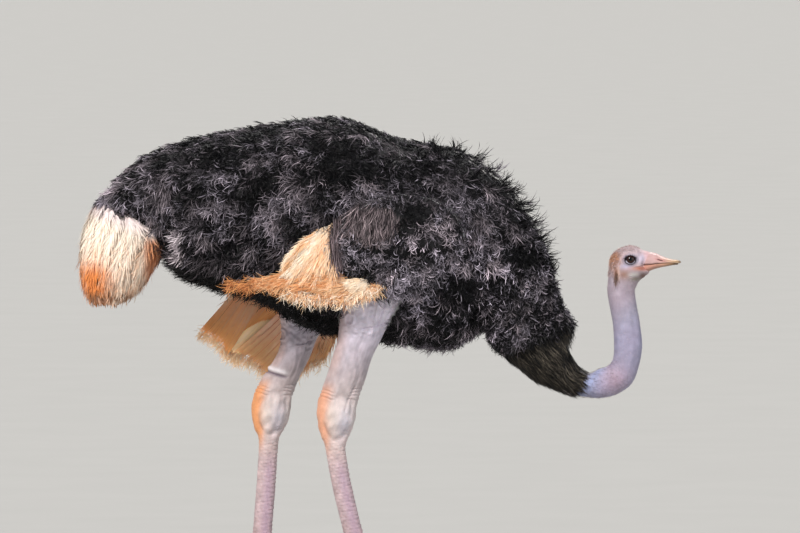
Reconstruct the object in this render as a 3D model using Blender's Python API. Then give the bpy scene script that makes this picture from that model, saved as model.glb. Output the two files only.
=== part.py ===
"""A male Somali ostrich, life size, as a still museum model.

It walks slowly with its neck lowered in a U and its head held level. +X is forward, +Z is up and -Y
is the bird's right side. The origin is on the floor under the middle of the bird.

Every fleshy part is a loft: rows say where a cross-section's two ends lie in the side view, how far
the section's middle stands from the bird's own middle plane, and half its width. Parts that join a
bigger one are cut back from it by a thin gap. The solids reach out to the tips of the feathers.
"""

import math

import bmesh
import bpy
from mathutils import Matrix, Vector

# Thin gap that parts two neighbouring solids, and how far a cutter stands out from its own part.
GAP = 0.0004
CUTTER_STANDS_OUT = 0.0006

# Half the track: how far each leg stands from the middle plane at the hip, the ankle and the foot.
HIP_Y = 0.118
ANKLE_Y = 0.108
FOOT_Y = 0.100

# A section is widest at its waist, a share of its height from the top, and its outline is a
# superellipse: power 2 is an ellipse and more is fuller.
TRUNK_WAIST, TRUNK_POWER = 0.47, 2.25
HEAD_WAIST, HEAD_POWER = 0.44, 2.1
TAIL_POWER = 2.2
LEG_POWER = 2.15
BILL_POWER = 2.4
TOE_POWER = 2.3
TRUNK_SIDES = 24
NECK_SIDES = 16
LEG_SIDES = 12
BILL_SIDES = 14
CLAW_SIDES = 8

# Where the head ends and the bill starts.
BILL_ROOT_X = 0.746

# Trunk, from the rump to the shoulders: back (x, z), belly (x, z), half width.
TRUNK_ROWS = (
    (-0.788, 1.092, -0.774, 1.075, 0.045),
    (-0.749, 1.134, -0.721, 1.044, 0.088),
    (-0.671, 1.207, -0.648, 1.005, 0.136),
    (-0.601, 1.240, -0.592, 0.918, 0.164),
    (-0.545, 1.260, -0.550, 0.879, 0.182),
    (-0.463, 1.280, -0.469, 0.851, 0.206),
    (-0.335, 1.299, -0.340, 0.812, 0.230),
    (-0.175, 1.324, -0.189, 0.736, 0.243),
    (-0.074, 1.319, -0.077, 0.706, 0.244),
    (0.035, 1.271, 0.035, 0.694, 0.235),
    (0.125, 1.254, 0.127, 0.680, 0.219),
    (0.211, 1.243, 0.211, 0.678, 0.196),
    (0.298, 1.190, 0.270, 0.717, 0.168),
)
# Neck, from the shoulders round the U to the throat: nape (x, z), throat (x, z), half width.
COLLAR_ROWS = (
    TRUNK_ROWS[-1],
    (0.371, 1.120, 0.293, 0.725, 0.142),
    (0.424, 1.039, 0.312, 0.692, 0.120),
    (0.466, 0.958, 0.340, 0.658, 0.102),
    (0.491, 0.879, 0.379, 0.627, 0.087),
    (0.514, 0.804, 0.421, 0.594, 0.074),
    (0.542, 0.745, 0.452, 0.577, 0.065),
)
NECK_FOOT_ROWS = (
    COLLAR_ROWS[-1],
    (0.528, 0.694, 0.483, 0.563, 0.051),
    (0.547, 0.644, 0.522, 0.549, 0.044),
    (0.584, 0.608, 0.570, 0.540, 0.039),
)
NECK_BEND_ROWS = (
    NECK_FOOT_ROWS[-1],
    (0.617, 0.619, 0.626, 0.538, 0.038),
    (0.640, 0.627, 0.673, 0.552, 0.038),
    (0.654, 0.647, 0.713, 0.588, 0.038),
    (0.657, 0.680, 0.735, 0.672, 0.0375),
)
NECK_UPPER_ROWS = (
    NECK_BEND_ROWS[-1],
    (0.654, 0.742, 0.729, 0.748, 0.0365),
    (0.645, 0.792, 0.721, 0.792, 0.036),
    (0.638, 0.837, 0.715, 0.837, 0.036),
)
HEAD_ROWS = (
    NECK_UPPER_ROWS[-1],
    (0.640, 0.865, 0.721, 0.855, 0.0375),
    (0.643, 0.896, 0.729, 0.868, 0.041),
    (0.648, 0.927, 0.735, 0.875, 0.044),
    (0.662, 0.948, 0.738, 0.880, 0.045),
    (0.685, 0.960, 0.741, 0.883, 0.0445),
    (0.710, 0.963, 0.743, 0.886, 0.040),
    (0.729, 0.956, 0.745, 0.888, 0.032),
    (BILL_ROOT_X, 0.949, BILL_ROOT_X, 0.889, 0.028),
)
# Tail, a drooping bunch of plumes: rear edge (x, z), front edge (x, z), half width.
TAIL_ROWS = (
    (-0.780, 1.103, -0.643, 1.030, 0.070),
    (-0.805, 1.070, -0.601, 0.986, 0.105),
    (-0.833, 1.008, -0.606, 0.944, 0.124),
    (-0.844, 0.930, -0.631, 0.896, 0.130),
    (-0.841, 0.862, -0.659, 0.848, 0.116),
    (-0.825, 0.820, -0.699, 0.820, 0.084),
    (-0.791, 0.809, -0.741, 0.812, 0.034),
)
# Bill, from its root to its tip: x, top z, bottom z, half width.
BILL_UPPER_ROWS = (
    (BILL_ROOT_X + GAP, 0.948, 0.910, 0.0270),
    (0.760, 0.945, 0.911, 0.0250),
    (0.774, 0.942, 0.913, 0.0230),
    (0.791, 0.934, 0.914, 0.0208),
    (0.808, 0.928, 0.916, 0.0184),
    (0.825, 0.925, 0.916, 0.0158),
    (0.838, 0.923, 0.915, 0.0112),
    (0.844, 0.920, 0.916, 0.0045),
)
BILL_LOWER_ROWS = (
    (BILL_ROOT_X + GAP, 0.909, 0.890, 0.0245),
    (0.760, 0.910, 0.895, 0.0225),
    (0.774, 0.912, 0.900, 0.0203),
    (0.791, 0.913, 0.904, 0.0180),
    (0.808, 0.915, 0.907, 0.0156),
    (0.825, 0.9152, 0.910, 0.0128),
    (0.836, 0.9142, 0.911, 0.0065),
)

EYE = (0.701, 0.926)
EYE_Y = 0.028
EYE_RADIUS = 0.0205
EAR = (0.662, 0.888)
EAR_Y = 0.0375
EAR_SIZE = (0.0075, 0.0050, 0.0190)
EAR_LEAN = math.radians(-6)

# Drumstick and shank of each leg: rear edge (x, z), front edge (x, z), distance from the middle
# plane, half width. The right leg is forward and the left one trails.
DRUMSTICK_ROWS = {
    "right": (
        (-0.097, 0.896, 0.099, 0.918, HIP_Y, 0.074),
        (-0.111, 0.812, 0.071, 0.818, HIP_Y, 0.071),
        (-0.113, 0.750, 0.029, 0.756, HIP_Y, 0.064),
        (-0.116, 0.706, 0.004, 0.706, 0.116, 0.058),
        (-0.127, 0.661, -0.021, 0.655, 0.114, 0.053),
        (-0.144, 0.605, -0.038, 0.599, 0.111, 0.048),
        (-0.164, 0.549, -0.055, 0.549, ANKLE_Y, 0.046),
    ),
    "left": (
        (-0.301, 0.840, -0.097, 0.854, HIP_Y, 0.072),
        (-0.281, 0.756, -0.139, 0.750, HIP_Y, 0.064),
        (-0.276, 0.706, -0.175, 0.700, 0.116, 0.058),
        (-0.285, 0.655, -0.197, 0.644, 0.114, 0.053),
        (-0.318, 0.602, -0.223, 0.594, 0.111, 0.048),
        (-0.346, 0.554, -0.239, 0.554, ANKLE_Y, 0.046),
    ),
}
SHANK_ROWS = {
    "right": (
        DRUMSTICK_ROWS["right"][-1],
        (-0.171, 0.515, -0.063, 0.515, ANKLE_Y, 0.046),
        (-0.170, 0.480, -0.067, 0.482, ANKLE_Y, 0.044),
        (-0.163, 0.446, -0.078, 0.450, ANKLE_Y, 0.037),
        (-0.153, 0.415, -0.093, 0.420, 0.107, 0.029),
        (-0.147, 0.380, -0.094, 0.384, 0.107, 0.024),
        (-0.128, 0.280, -0.075, 0.283, 0.105, 0.022),
        (-0.096, 0.150, -0.043, 0.153, 0.102, 0.022),
        (-0.080, 0.090, -0.019, 0.090, FOOT_Y, 0.027),
        (-0.072, 0.046, -0.002, 0.050, FOOT_Y, 0.032),
    ),
    "left": (
        DRUMSTICK_ROWS["left"][-1],
        (-0.355, 0.522, -0.248, 0.522, ANKLE_Y, 0.046),
        (-0.358, 0.488, -0.251, 0.490, ANKLE_Y, 0.044),
        (-0.351, 0.452, -0.262, 0.454, ANKLE_Y, 0.037),
        (-0.341, 0.424, -0.280, 0.426, 0.107, 0.029),
        (-0.340, 0.388, -0.287, 0.390, 0.107, 0.024),
        (-0.347, 0.280, -0.294, 0.280, 0.105, 0.022),
        (-0.357, 0.150, -0.304, 0.150, 0.102, 0.022),
        (-0.363, 0.090, -0.301, 0.090, FOOT_Y, 0.027),
        (-0.362, 0.046, -0.291, 0.050, FOOT_Y, 0.032),
    ),
}

# A foot's joint sits over its own middle; the toes start there. Each toe row: distance from the
# joint, height, half width. The sole is cut flat at the floor.
FOOT_JOINT_X = {"right": -0.036, "left": -0.326}
INNER_TOE_ROWS = (
    (-0.036, 0.034, 0.015),
    (-0.022, 0.054, 0.026),
    (0.004, 0.060, 0.031),
    (0.036, 0.050, 0.0285),
    (0.064, 0.044, 0.0270),
    (0.094, 0.046, 0.0290),
    (0.122, 0.036, 0.0260),
    (0.143, 0.022, 0.0170),
)
OUTER_TOE_ROWS = (
    (0.000, 0.046, 0.018),
    (0.028, 0.042, 0.0190),
    (0.054, 0.034, 0.0175),
    (0.082, 0.034, 0.0190),
    (0.103, 0.026, 0.0165),
    (0.116, 0.016, 0.0100),
)
INNER_TOE_TURN = math.radians(4)
OUTER_TOE_TURN = math.radians(-27)
OUTER_TOE_START = 0.022
# A claw's rows: distance from the joint, middle height, half height, half width.
INNER_CLAW_ROWS = (
    (0.128, 0.0190, 0.0120, 0.0120),
    (0.150, 0.0165, 0.0100, 0.0100),
    (0.170, 0.0115, 0.0070, 0.0065),
    (0.186, 0.0055, 0.0025, 0.0022),
)
OUTER_CLAW_ROWS = (
    (0.106, 0.0130, 0.0075, 0.0075),
    (0.120, 0.0105, 0.0060, 0.0060),
    (0.133, 0.0065, 0.0025, 0.0022),
)
# The soles run this far below the floor before they are cut flat.
SOLE_BELOW = 0.006

# Outlines of the wing pieces in the side view, (x, z), front first and over the top.
COVERTS_OUTLINE = (
    (0.248, 1.002),
    (0.203, 1.078),
    (0.113, 1.120),
    (0.015, 1.116),
    (-0.077, 1.072),
    (-0.125, 1.019),
    (-0.126, 0.950),
    (-0.099, 0.902),
    (-0.050, 0.876),
    (0.004, 0.872),
    (0.042, 0.832),
    (0.095, 0.828),
    (0.160, 0.862),
    (0.210, 0.925),
)
RIGHT_PLUMES_OUTLINE = (
    (-0.060, 1.010),
    (-0.165, 1.006),
    (-0.235, 0.966),
    (-0.278, 0.922),
    (-0.330, 0.886),
    (-0.436, 0.868),
    (-0.428, 0.853),
    (-0.363, 0.848),
    (-0.293, 0.840),
    (-0.240, 0.806),
    (-0.172, 0.788),
    (-0.097, 0.792),
    (-0.035, 0.812),
    (0.010, 0.846),
    (0.020, 0.900),
    (0.000, 0.960),
)
LEFT_PLUMES_OUTLINE = (
    (-0.300, 0.960),
    (-0.380, 0.890),
    (-0.440, 0.804),
    (-0.508, 0.722),
    (-0.475, 0.678),
    (-0.400, 0.640),
    (-0.318, 0.608),
    (-0.223, 0.599),
    (-0.125, 0.613),
    (-0.090, 0.686),
    (-0.077, 0.812),
    (-0.097, 0.930),
    (-0.200, 0.985),
)
# How thick a wing piece stands off the flank at its middle and at its rim, and how far below the
# flank it starts before the trunk cuts it back. `tuck` says how much of the flank's inward curve
# it follows below the trunk's widest level.
COVERTS_THICK, COVERTS_RIM, COVERTS_TUCK = 0.046, 0.012, 0.55
PLUMES_THICK, PLUMES_RIM = 0.030, 0.010
RIGHT_PLUMES_TUCK, LEFT_PLUMES_TUCK = 0.55, 0.0
UNDER_FLANK = 0.022
LEFT_COVERTS_DROP = 0.030

# A pad's rings, as shares of its outline: its outer face is a dome, and its inner face is flat.
PAD_OUTER_SHARES = (1.0, 0.84, 0.5)
PAD_INNER_SHARES = (0.5, 1.0)
# Below the widest level a flank is followed no nearer to the belly's keel than this.
FLANK_LIMIT = 0.97
SHARP_EDGE = math.radians(50)

# Colour, roughness of each material.
MATERIALS = {
    "plumage_black": ((0.016, 0.015, 0.018), 0.75),
    "plumage_pale": ((0.84, 0.55, 0.34), 0.80),
    "skin": ((0.42, 0.35, 0.43), 0.62),
    "bill": ((0.80, 0.42, 0.32), 0.45),
    "claw": ((0.16, 0.11, 0.09), 0.40),
    "eye": ((0.045, 0.020, 0.014), 0.08),
}


def clear_scene():
    for obj in list(bpy.data.objects):
        bpy.data.objects.remove(obj)


def make_materials():
    made = {}
    for name, (colour, roughness) in MATERIALS.items():
        material = bpy.data.materials.new(name)
        material.use_nodes = True
        shader = material.node_tree.nodes["Principled BSDF"]
        shader.inputs["Base Color"].default_value = (*colour, 1.0)
        shader.inputs["Roughness"].default_value = roughness
        shader.inputs["Metallic"].default_value = 0.0
        made[name] = material
    return made


def catmull_rom(before, start, end, after, t):
    """The point at t, from 0 to 1, of the smooth curve from start to end; all are number tuples."""
    return tuple(
        0.5 * (2 * b + (c - a) * t + (2 * a - 5 * b + 4 * c - d) * t**2 + (3 * b - a - 3 * c + d) * t**3)
        for a, b, c, d in zip(before, start, end, after)
    )


def smooth_rows(rows, steps, closed=False):
    """The rows with `steps` samples to each interval, on a smooth curve through them all."""
    count = len(rows)
    spans = count if closed else count - 1
    samples = []
    for i in range(spans):
        if closed:
            near = [rows[(i + k) % count] for k in (-1, 0, 1, 2)]
        else:
            near = [rows[min(max(i + k, 0), count - 1)] for k in (-1, 0, 1, 2)]
        samples += [catmull_rom(*near, step / steps) for step in range(steps)]
    return samples if closed else samples + [tuple(rows[-1])]


def section(upper, lower, half_width, sides, waist=0.5, power=2.0):
    """A closed cross-section in the plane of `upper`, `lower` and the Y axis, as a list of points."""
    upper, lower = Vector(upper), Vector(lower)
    middle = upper.lerp(lower, waist)
    points = []
    for i in range(sides):
        turn = 2 * math.pi * i / sides
        along, across = math.cos(turn), math.sin(turn)
        reach = (upper if along > 0 else lower) - middle
        along = abs(along) ** (2 / power)
        across = math.copysign(abs(across) ** (2 / power), across)
        points.append(middle + reach * along + Vector((0, half_width * across, 0)))
    return points


def moved_off(ring, towards):
    """A section moved by the gap, square to its own plane, towards the next section."""
    normal = (ring[0] - ring[len(ring) // 2]).cross(Vector((0, 1, 0))).normalized()
    if normal.dot(towards[0] - ring[0]) + normal.dot(towards[len(ring) // 2] - ring[len(ring) // 2]) < 0:
        normal = -normal
    return [point + normal * GAP for point in ring]


def mesh_object(name, bm, material):
    """A mesh object from a closed bmesh: triangles, faces out and shaded smooth."""
    bmesh.ops.recalc_face_normals(bm, faces=bm.faces)
    bmesh.ops.triangulate(bm, faces=bm.faces)
    mesh = bpy.data.meshes.new(name)
    bm.to_mesh(mesh)
    bm.free()
    mesh.shade_smooth()
    mesh.set_sharp_from_angle(angle=SHARP_EDGE)
    mesh.materials.append(material)
    obj = bpy.data.objects.new(name, mesh)
    bpy.context.scene.collection.objects.link(obj)
    return obj


def loft(name, rings, material):
    """A closed tube through the rings, with flat ends."""
    bm = bmesh.new()
    loops = [[bm.verts.new(point) for point in ring] for ring in rings]
    sides = len(rings[0])
    for ring, following in zip(loops, loops[1:]):
        for i in range(sides):
            j = (i + 1) % sides
            bm.faces.new((ring[i], ring[j], following[j], following[i]))
    bm.faces.new(loops[0])
    bm.faces.new(loops[-1])
    return mesh_object(name, bm, material)


def body_loft(name, rows, steps, sides, material, starts_at_seam=True, waist=0.5, power=2.0):
    """A loft on the bird's middle plane; one that starts at a seam leaves the gap there."""
    rings = [
        section((ax, 0, az), (bx, 0, bz), half, sides, waist, power)
        for ax, az, bx, bz, half in smooth_rows(rows, steps)
    ]
    if starts_at_seam:
        rings[0] = moved_off(rings[0], rings[1])
    return loft(name, rings, material)


def leg_loft(name, rows, steps, side, material, starts_at_seam):
    rings = [
        section((ax, side * y, az), (bx, side * y, bz), half, LEG_SIDES, power=LEG_POWER)
        for ax, az, bx, bz, y, half in smooth_rows(rows, steps)
    ]
    if starts_at_seam:
        rings[0] = moved_off(rings[0], rings[1])
    return loft(name, rings, material)


def bill_loft(name, rows, material):
    rings = [
        section((x, 0, top), (x, 0, bottom), half, BILL_SIDES, power=BILL_POWER)
        for x, top, bottom, half in rows
    ]
    return loft(name, rings, material)


def flank(x, z, tuck):
    """Half the trunk's width at (x, z) in the side view, where wing pieces lie on it."""
    rows = smooth_rows(TRUNK_ROWS, 4)
    after = next((i for i, row in enumerate(rows) if row[0] > x), len(rows) - 1)
    start, end = rows[after - 1], rows[after]
    share = (x - start[0]) / (end[0] - start[0])
    top, bottom, half = (start[k] + share * (end[k] - start[k]) for k in (1, 3, 4))
    down = (top - z) / (top - bottom)
    if down < TRUNK_WAIST:
        off_waist = (TRUNK_WAIST - down) / TRUNK_WAIST
    else:
        off_waist = tuck * (down - TRUNK_WAIST) / (1 - TRUNK_WAIST)
    off_waist = min(off_waist, FLANK_LIMIT)
    return half * (1 - off_waist**TRUNK_POWER) ** (1 / TRUNK_POWER)


def wing_pad(name, outline, steps, side, thick, rim, tuck, material):
    """A pad of feathers on one flank: full at its middle, thin at its rim, hung from the outline."""
    edge = smooth_rows(outline, steps, closed=True)
    mid_x = sum(x for x, _ in edge) / len(edge)
    mid_z = sum(z for _, z in edge) / len(edge)
    bm = bmesh.new()

    def point(x, z, height):
        return bm.verts.new((x, side * (flank(x, z, tuck) + height), z))

    def layer(share, height):
        return [
            point(mid_x + share * (x - mid_x), mid_z + share * (z - mid_z), height) for x, z in edge
        ]

    inner = [layer(s, -UNDER_FLANK) for s in PAD_INNER_SHARES]
    outer = [layer(s, rim + (thick - rim) * math.sqrt(1 - s * s)) for s in PAD_OUTER_SHARES]
    loops = inner + outer
    count = len(edge)
    for ring, following in zip(loops, loops[1:]):
        for i in range(count):
            j = (i + 1) % count
            bm.faces.new((ring[i], ring[j], following[j], following[i]))
    for ring, height in ((loops[0], -UNDER_FLANK), (loops[-1], thick)):
        tip = point(mid_x, mid_z, height)
        for i in range(count):
            bm.faces.new((ring[i], ring[(i + 1) % count], tip))
    return mesh_object(name, bm, material)


def ellipsoid(name, centre, size, lean, material):
    """A small faceted ball stretched to `size` and leant about the Y axis."""
    bm = bmesh.new()
    placed = Matrix.Translation(centre) @ Matrix.Rotation(lean, 4, "Y") @ Matrix.Diagonal((*size, 1))
    bmesh.ops.create_uvsphere(bm, u_segments=12, v_segments=8, radius=1.0, matrix=placed)
    return mesh_object(name, bm, material)


def toe_frame(foot, side, turn, start):
    """The matrix that lays a toe's own length, width and height out on the floor."""
    joint = Matrix.Translation((FOOT_JOINT_X[foot], side * FOOT_Y, 0))
    return joint @ Matrix.Rotation(side * -turn, 4, "Z") @ Matrix.Translation((0, side * start, 0))


def toe(name, rows, placed, material):
    """A toe whose sole is flat on the floor."""
    rings = []
    for along, height, half in rows:
        upper, lower = (along, 0, height), (along, 0, -SOLE_BELOW)
        ring = section(upper, lower, half, LEG_SIDES, power=TOE_POWER)
        rings.append([placed @ Vector((p.x, p.y, max(p.z, 0.0))) for p in ring])
    return loft(name, rings, material)


def claw(name, rows, placed, material):
    rings = []
    for along, height, half_height, half in rows:
        upper, lower = (along, 0, height + half_height), (along, 0, height - half_height)
        ring = section(upper, lower, half, CLAW_SIDES)
        rings.append([placed @ point for point in ring])
    return loft(name, rings, material)


def cutter_of(obj):
    """A hidden copy of the part's uncut mesh, standing out from it by a little over the gap."""
    mesh = obj.data.copy()
    normals = [vertex.normal.copy() for vertex in mesh.vertices]
    for vertex, normal in zip(mesh.vertices, normals):
        vertex.co += normal * CUTTER_STANDS_OUT
    cutter = bpy.data.objects.new("cutter_" + obj.name, mesh)
    bpy.context.scene.collection.objects.link(cutter)
    cutter.hide_render = True
    cutter.display_type = "WIRE"
    return cutter


def cut_back(obj, *cutters):
    for cutter in cutters:
        boolean = obj.modifiers.new("cut_" + cutter.name, "BOOLEAN")
        boolean.operation = "DIFFERENCE"
        boolean.object = cutter


def build_spine(skins):
    """Trunk, neck in four lengths, head, and the tail that hangs from the rump."""
    black, bare = skins["plumage_black"], skins["skin"]
    trunk = body_loft(
        "trunk", TRUNK_ROWS, 2, TRUNK_SIDES, black, False, TRUNK_WAIST, TRUNK_POWER
    )
    collar = body_loft(
        "neck_collar", COLLAR_ROWS, 2, TRUNK_SIDES, black, True, TRUNK_WAIST, TRUNK_POWER
    )
    body_loft("neck_foot", NECK_FOOT_ROWS, 3, NECK_SIDES, black)
    body_loft("neck_bend", NECK_BEND_ROWS, 3, NECK_SIDES, bare)
    body_loft("neck_upper", NECK_UPPER_ROWS, 2, NECK_SIDES, bare)
    head = body_loft("head", HEAD_ROWS, 2, NECK_SIDES, bare, True, HEAD_WAIST, HEAD_POWER)
    tail = body_loft("tail", TAIL_ROWS, 2, NECK_SIDES, skins["plumage_pale"], False, power=TAIL_POWER)
    cut_back(tail, cutter_of(trunk))
    return trunk, collar, head


def build_face(head, skins):
    """Bill, eyes and ear rims; the head is cut back from the eyes and ears."""
    bill_loft("bill_upper", BILL_UPPER_ROWS, skins["bill"])
    bill_loft("bill_lower", BILL_LOWER_ROWS, skins["bill"])
    for name, side in (("right", -1), ("left", 1)):
        eye = ellipsoid(
            "eye_" + name, (EYE[0], side * EYE_Y, EYE[1]), (EYE_RADIUS,) * 3, 0.0, skins["eye"]
        )
        ear = ellipsoid(
            "ear_" + name, (EAR[0], side * EAR_Y, EAR[1]), EAR_SIZE, EAR_LEAN, skins["skin"]
        )
        cut_back(head, cutter_of(eye), cutter_of(ear))


def build_leg(name, side, trunk_cutter, skins):
    """One leg, from where it leaves the belly to its two toes and their claws."""
    bare = skins["skin"]
    drumstick = leg_loft("drumstick_" + name, DRUMSTICK_ROWS[name], 2, side, bare, False)
    cut_back(drumstick, trunk_cutter)
    shank = leg_loft("shank_" + name, SHANK_ROWS[name], 2, side, bare, True)
    shank_cutter = cutter_of(shank)
    inner_place = toe_frame(name, side, INNER_TOE_TURN, 0.0)
    outer_place = toe_frame(name, side, OUTER_TOE_TURN, OUTER_TOE_START)
    inner = toe("toe_inner_" + name, INNER_TOE_ROWS, inner_place, bare)
    outer = toe("toe_outer_" + name, OUTER_TOE_ROWS, outer_place, bare)
    cut_back(inner, shank_cutter)
    cut_back(outer, shank_cutter, cutter_of(inner))
    inner_claw = claw("claw_inner_" + name, INNER_CLAW_ROWS, inner_place, skins["claw"])
    outer_claw = claw("claw_outer_" + name, OUTER_CLAW_ROWS, outer_place, skins["claw"])
    cut_back(inner_claw, cutter_of(inner))
    cut_back(outer_claw, cutter_of(outer))
    return drumstick


def build_wing(name, side, drop, outline, tuck, cutters, skins):
    """One folded wing: the black coverts, and the pale plumes that hang out from under them."""
    coverts_outline = [(x, z - drop) for x, z in COVERTS_OUTLINE]
    coverts = wing_pad(
        "wing_coverts_" + name, coverts_outline, 2, side,
        COVERTS_THICK, COVERTS_RIM, COVERTS_TUCK, skins["plumage_black"],
    )
    plumes = wing_pad(
        "wing_plumes_" + name, outline, 2, side,
        PLUMES_THICK, PLUMES_RIM, tuck, skins["plumage_pale"],
    )
    cut_back(coverts, *cutters)
    cut_back(plumes, *cutters, cutter_of(coverts))


def gather_under_empty():
    """Parents every part to one empty at the origin, so the bird can be placed as a whole."""
    bird = bpy.data.objects.new("ostrich", None)
    bpy.context.scene.collection.objects.link(bird)
    for obj in bpy.context.scene.collection.objects:
        if obj is not bird:
            obj.parent = bird


def main():
    clear_scene()
    skins = make_materials()
    trunk, collar, head = build_spine(skins)
    build_face(head, skins)
    trunk_cutter, collar_cutter = cutter_of(trunk), cutter_of(collar)
    sides = (
        ("right", -1, 0.0, RIGHT_PLUMES_OUTLINE, RIGHT_PLUMES_TUCK),
        ("left", 1, LEFT_COVERTS_DROP, LEFT_PLUMES_OUTLINE, LEFT_PLUMES_TUCK),
    )
    for name, side, drop, outline, tuck in sides:
        drumstick = build_leg(name, side, trunk_cutter, skins)
        cutters = (trunk_cutter, collar_cutter, cutter_of(drumstick))
        build_wing(name, side, drop, outline, tuck, cutters, skins)
    gather_under_empty()


main()
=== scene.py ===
"""Looks of the male Somali ostrich: its skin, bill, eyes and claws, and every feather.

One skin replaces the part's nodes of flesh. Black curly feathers cover the trunk, the collar and
the wing coverts, pale plumes make the wings' trim and the tail, and the neck, head and legs are
bare. Distances are metres, +X is forward, +Z is up and -Y is the bird's right side.
"""

import math

import bpy
import numpy as np
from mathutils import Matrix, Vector


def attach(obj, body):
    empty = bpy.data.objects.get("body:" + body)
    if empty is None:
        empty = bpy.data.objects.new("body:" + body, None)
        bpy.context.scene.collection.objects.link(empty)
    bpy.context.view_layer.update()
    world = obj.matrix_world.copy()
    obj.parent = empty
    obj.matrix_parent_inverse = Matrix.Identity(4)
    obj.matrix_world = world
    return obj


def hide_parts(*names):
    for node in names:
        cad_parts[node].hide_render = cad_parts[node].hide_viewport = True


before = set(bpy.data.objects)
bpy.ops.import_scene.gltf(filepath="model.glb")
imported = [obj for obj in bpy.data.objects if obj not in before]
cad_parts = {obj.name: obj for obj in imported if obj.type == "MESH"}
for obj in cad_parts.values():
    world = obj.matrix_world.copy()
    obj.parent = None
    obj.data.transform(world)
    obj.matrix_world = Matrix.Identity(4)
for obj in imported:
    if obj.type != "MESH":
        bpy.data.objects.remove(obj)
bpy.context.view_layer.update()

# ------------------------------------------------------------------ the body's shape, as in the part

# Rows from the rump to the bill's root: back or nape (x, z), belly or throat (x, z), half width.
SPINE = np.array((
    # trunk
    (-0.788, 1.092, -0.774, 1.075, 0.045),
    (-0.749, 1.134, -0.721, 1.044, 0.088),
    (-0.671, 1.207, -0.648, 1.005, 0.136),
    (-0.601, 1.240, -0.592, 0.918, 0.164),
    (-0.545, 1.260, -0.550, 0.879, 0.182),
    (-0.463, 1.280, -0.469, 0.851, 0.206),
    (-0.335, 1.299, -0.340, 0.812, 0.230),
    (-0.175, 1.324, -0.189, 0.736, 0.243),
    (-0.074, 1.319, -0.077, 0.706, 0.244),
    (0.035, 1.271, 0.035, 0.694, 0.235),
    (0.125, 1.254, 0.127, 0.680, 0.219),
    (0.211, 1.243, 0.211, 0.678, 0.196),
    (0.298, 1.190, 0.270, 0.717, 0.168),
    # collar
    (0.371, 1.120, 0.293, 0.725, 0.142),
    (0.424, 1.039, 0.312, 0.692, 0.120),
    (0.466, 0.958, 0.340, 0.658, 0.102),
    (0.491, 0.879, 0.379, 0.627, 0.087),
    (0.514, 0.804, 0.421, 0.594, 0.074),
    (0.542, 0.745, 0.452, 0.577, 0.065),
    # foot of the neck
    (0.528, 0.694, 0.483, 0.563, 0.051),
    (0.547, 0.644, 0.522, 0.549, 0.044),
    (0.584, 0.608, 0.570, 0.540, 0.039),
    # bend of the neck
    (0.617, 0.619, 0.626, 0.538, 0.038),
    (0.640, 0.627, 0.673, 0.552, 0.038),
    (0.654, 0.647, 0.713, 0.588, 0.038),
    (0.657, 0.680, 0.735, 0.672, 0.0375),
    # upper neck
    (0.654, 0.742, 0.729, 0.748, 0.0365),
    (0.645, 0.792, 0.721, 0.792, 0.036),
    (0.638, 0.837, 0.715, 0.837, 0.036),
    # head
    (0.640, 0.865, 0.721, 0.855, 0.0375),
    (0.643, 0.896, 0.729, 0.868, 0.041),
    (0.648, 0.927, 0.735, 0.875, 0.044),
    (0.662, 0.948, 0.738, 0.880, 0.045),
    (0.685, 0.960, 0.741, 0.883, 0.0445),
    (0.710, 0.963, 0.743, 0.886, 0.040),
    (0.729, 0.956, 0.745, 0.888, 0.032),
    (0.746, 0.949, 0.746, 0.889, 0.028),
))
# A place on the spine is a row's number: these are where one length of the body ends.
SHOULDER, COLLAR_END, SKIN_EDGE, THROAT, BILL_ROOT = 12, 18, 21, 28, 36
# A section is widest at its waist, a share of its height from the top, and power 2 is an ellipse.
WAIST_ALONG = ((0, COLLAR_END, SKIN_EDGE, THROAT, 30, BILL_ROOT), (0.47, 0.47, 0.5, 0.5, 0.44, 0.44))
POWER_ALONG = ((0, COLLAR_END, SKIN_EDGE, THROAT, 30, BILL_ROOT), (2.25, 2.25, 2.0, 2.0, 2.1, 2.1))
# How deep the skin lies under the tips of the coat.
COAT_ALONG = (
    (0, 3, SHOULDER, 15, 17.6, 18.4, 20, SKIN_EDGE, SKIN_EDGE + 0.6),
    (0.016, 0.020, 0.020, 0.015, 0.012, 0.008, 0.005, 0.0015, 0.0),
)

# Tail, a drooping bunch of plumes: rear edge (x, z), front edge (x, z), half width.
TAIL_ROWS = (
    (-0.780, 1.103, -0.643, 1.030, 0.070),
    (-0.805, 1.070, -0.601, 0.986, 0.105),
    (-0.833, 1.008, -0.606, 0.944, 0.124),
    (-0.844, 0.930, -0.631, 0.896, 0.130),
    (-0.841, 0.862, -0.659, 0.848, 0.116),
    (-0.825, 0.820, -0.699, 0.820, 0.084),
    (-0.791, 0.809, -0.741, 0.812, 0.034),
)
# Bill, from its root to its tip: x, top z, bottom z, half width.
BILL_UPPER_ROWS = (
    (0.722, 0.946, 0.909, 0.0262),
    (0.746, 0.948, 0.910, 0.0268),
    (0.760, 0.945, 0.911, 0.0250),
    (0.774, 0.942, 0.913, 0.0230),
    (0.791, 0.934, 0.914, 0.0208),
    (0.808, 0.928, 0.916, 0.0184),
    (0.825, 0.925, 0.916, 0.0158),
    (0.838, 0.923, 0.915, 0.0112),
    (0.844, 0.920, 0.916, 0.0045),
)
BILL_LOWER_ROWS = (
    (0.722, 0.908, 0.892, 0.0240),
    (0.746, 0.909, 0.890, 0.0245),
    (0.760, 0.910, 0.895, 0.0225),
    (0.774, 0.912, 0.900, 0.0203),
    (0.791, 0.913, 0.904, 0.0180),
    (0.808, 0.915, 0.907, 0.0156),
    (0.825, 0.9152, 0.910, 0.0128),
    (0.836, 0.9142, 0.911, 0.0065),
)
EYE = (0.701, 0.926)
EYE_Y = 0.028
EYE_RADIUS = 0.0205

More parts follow.
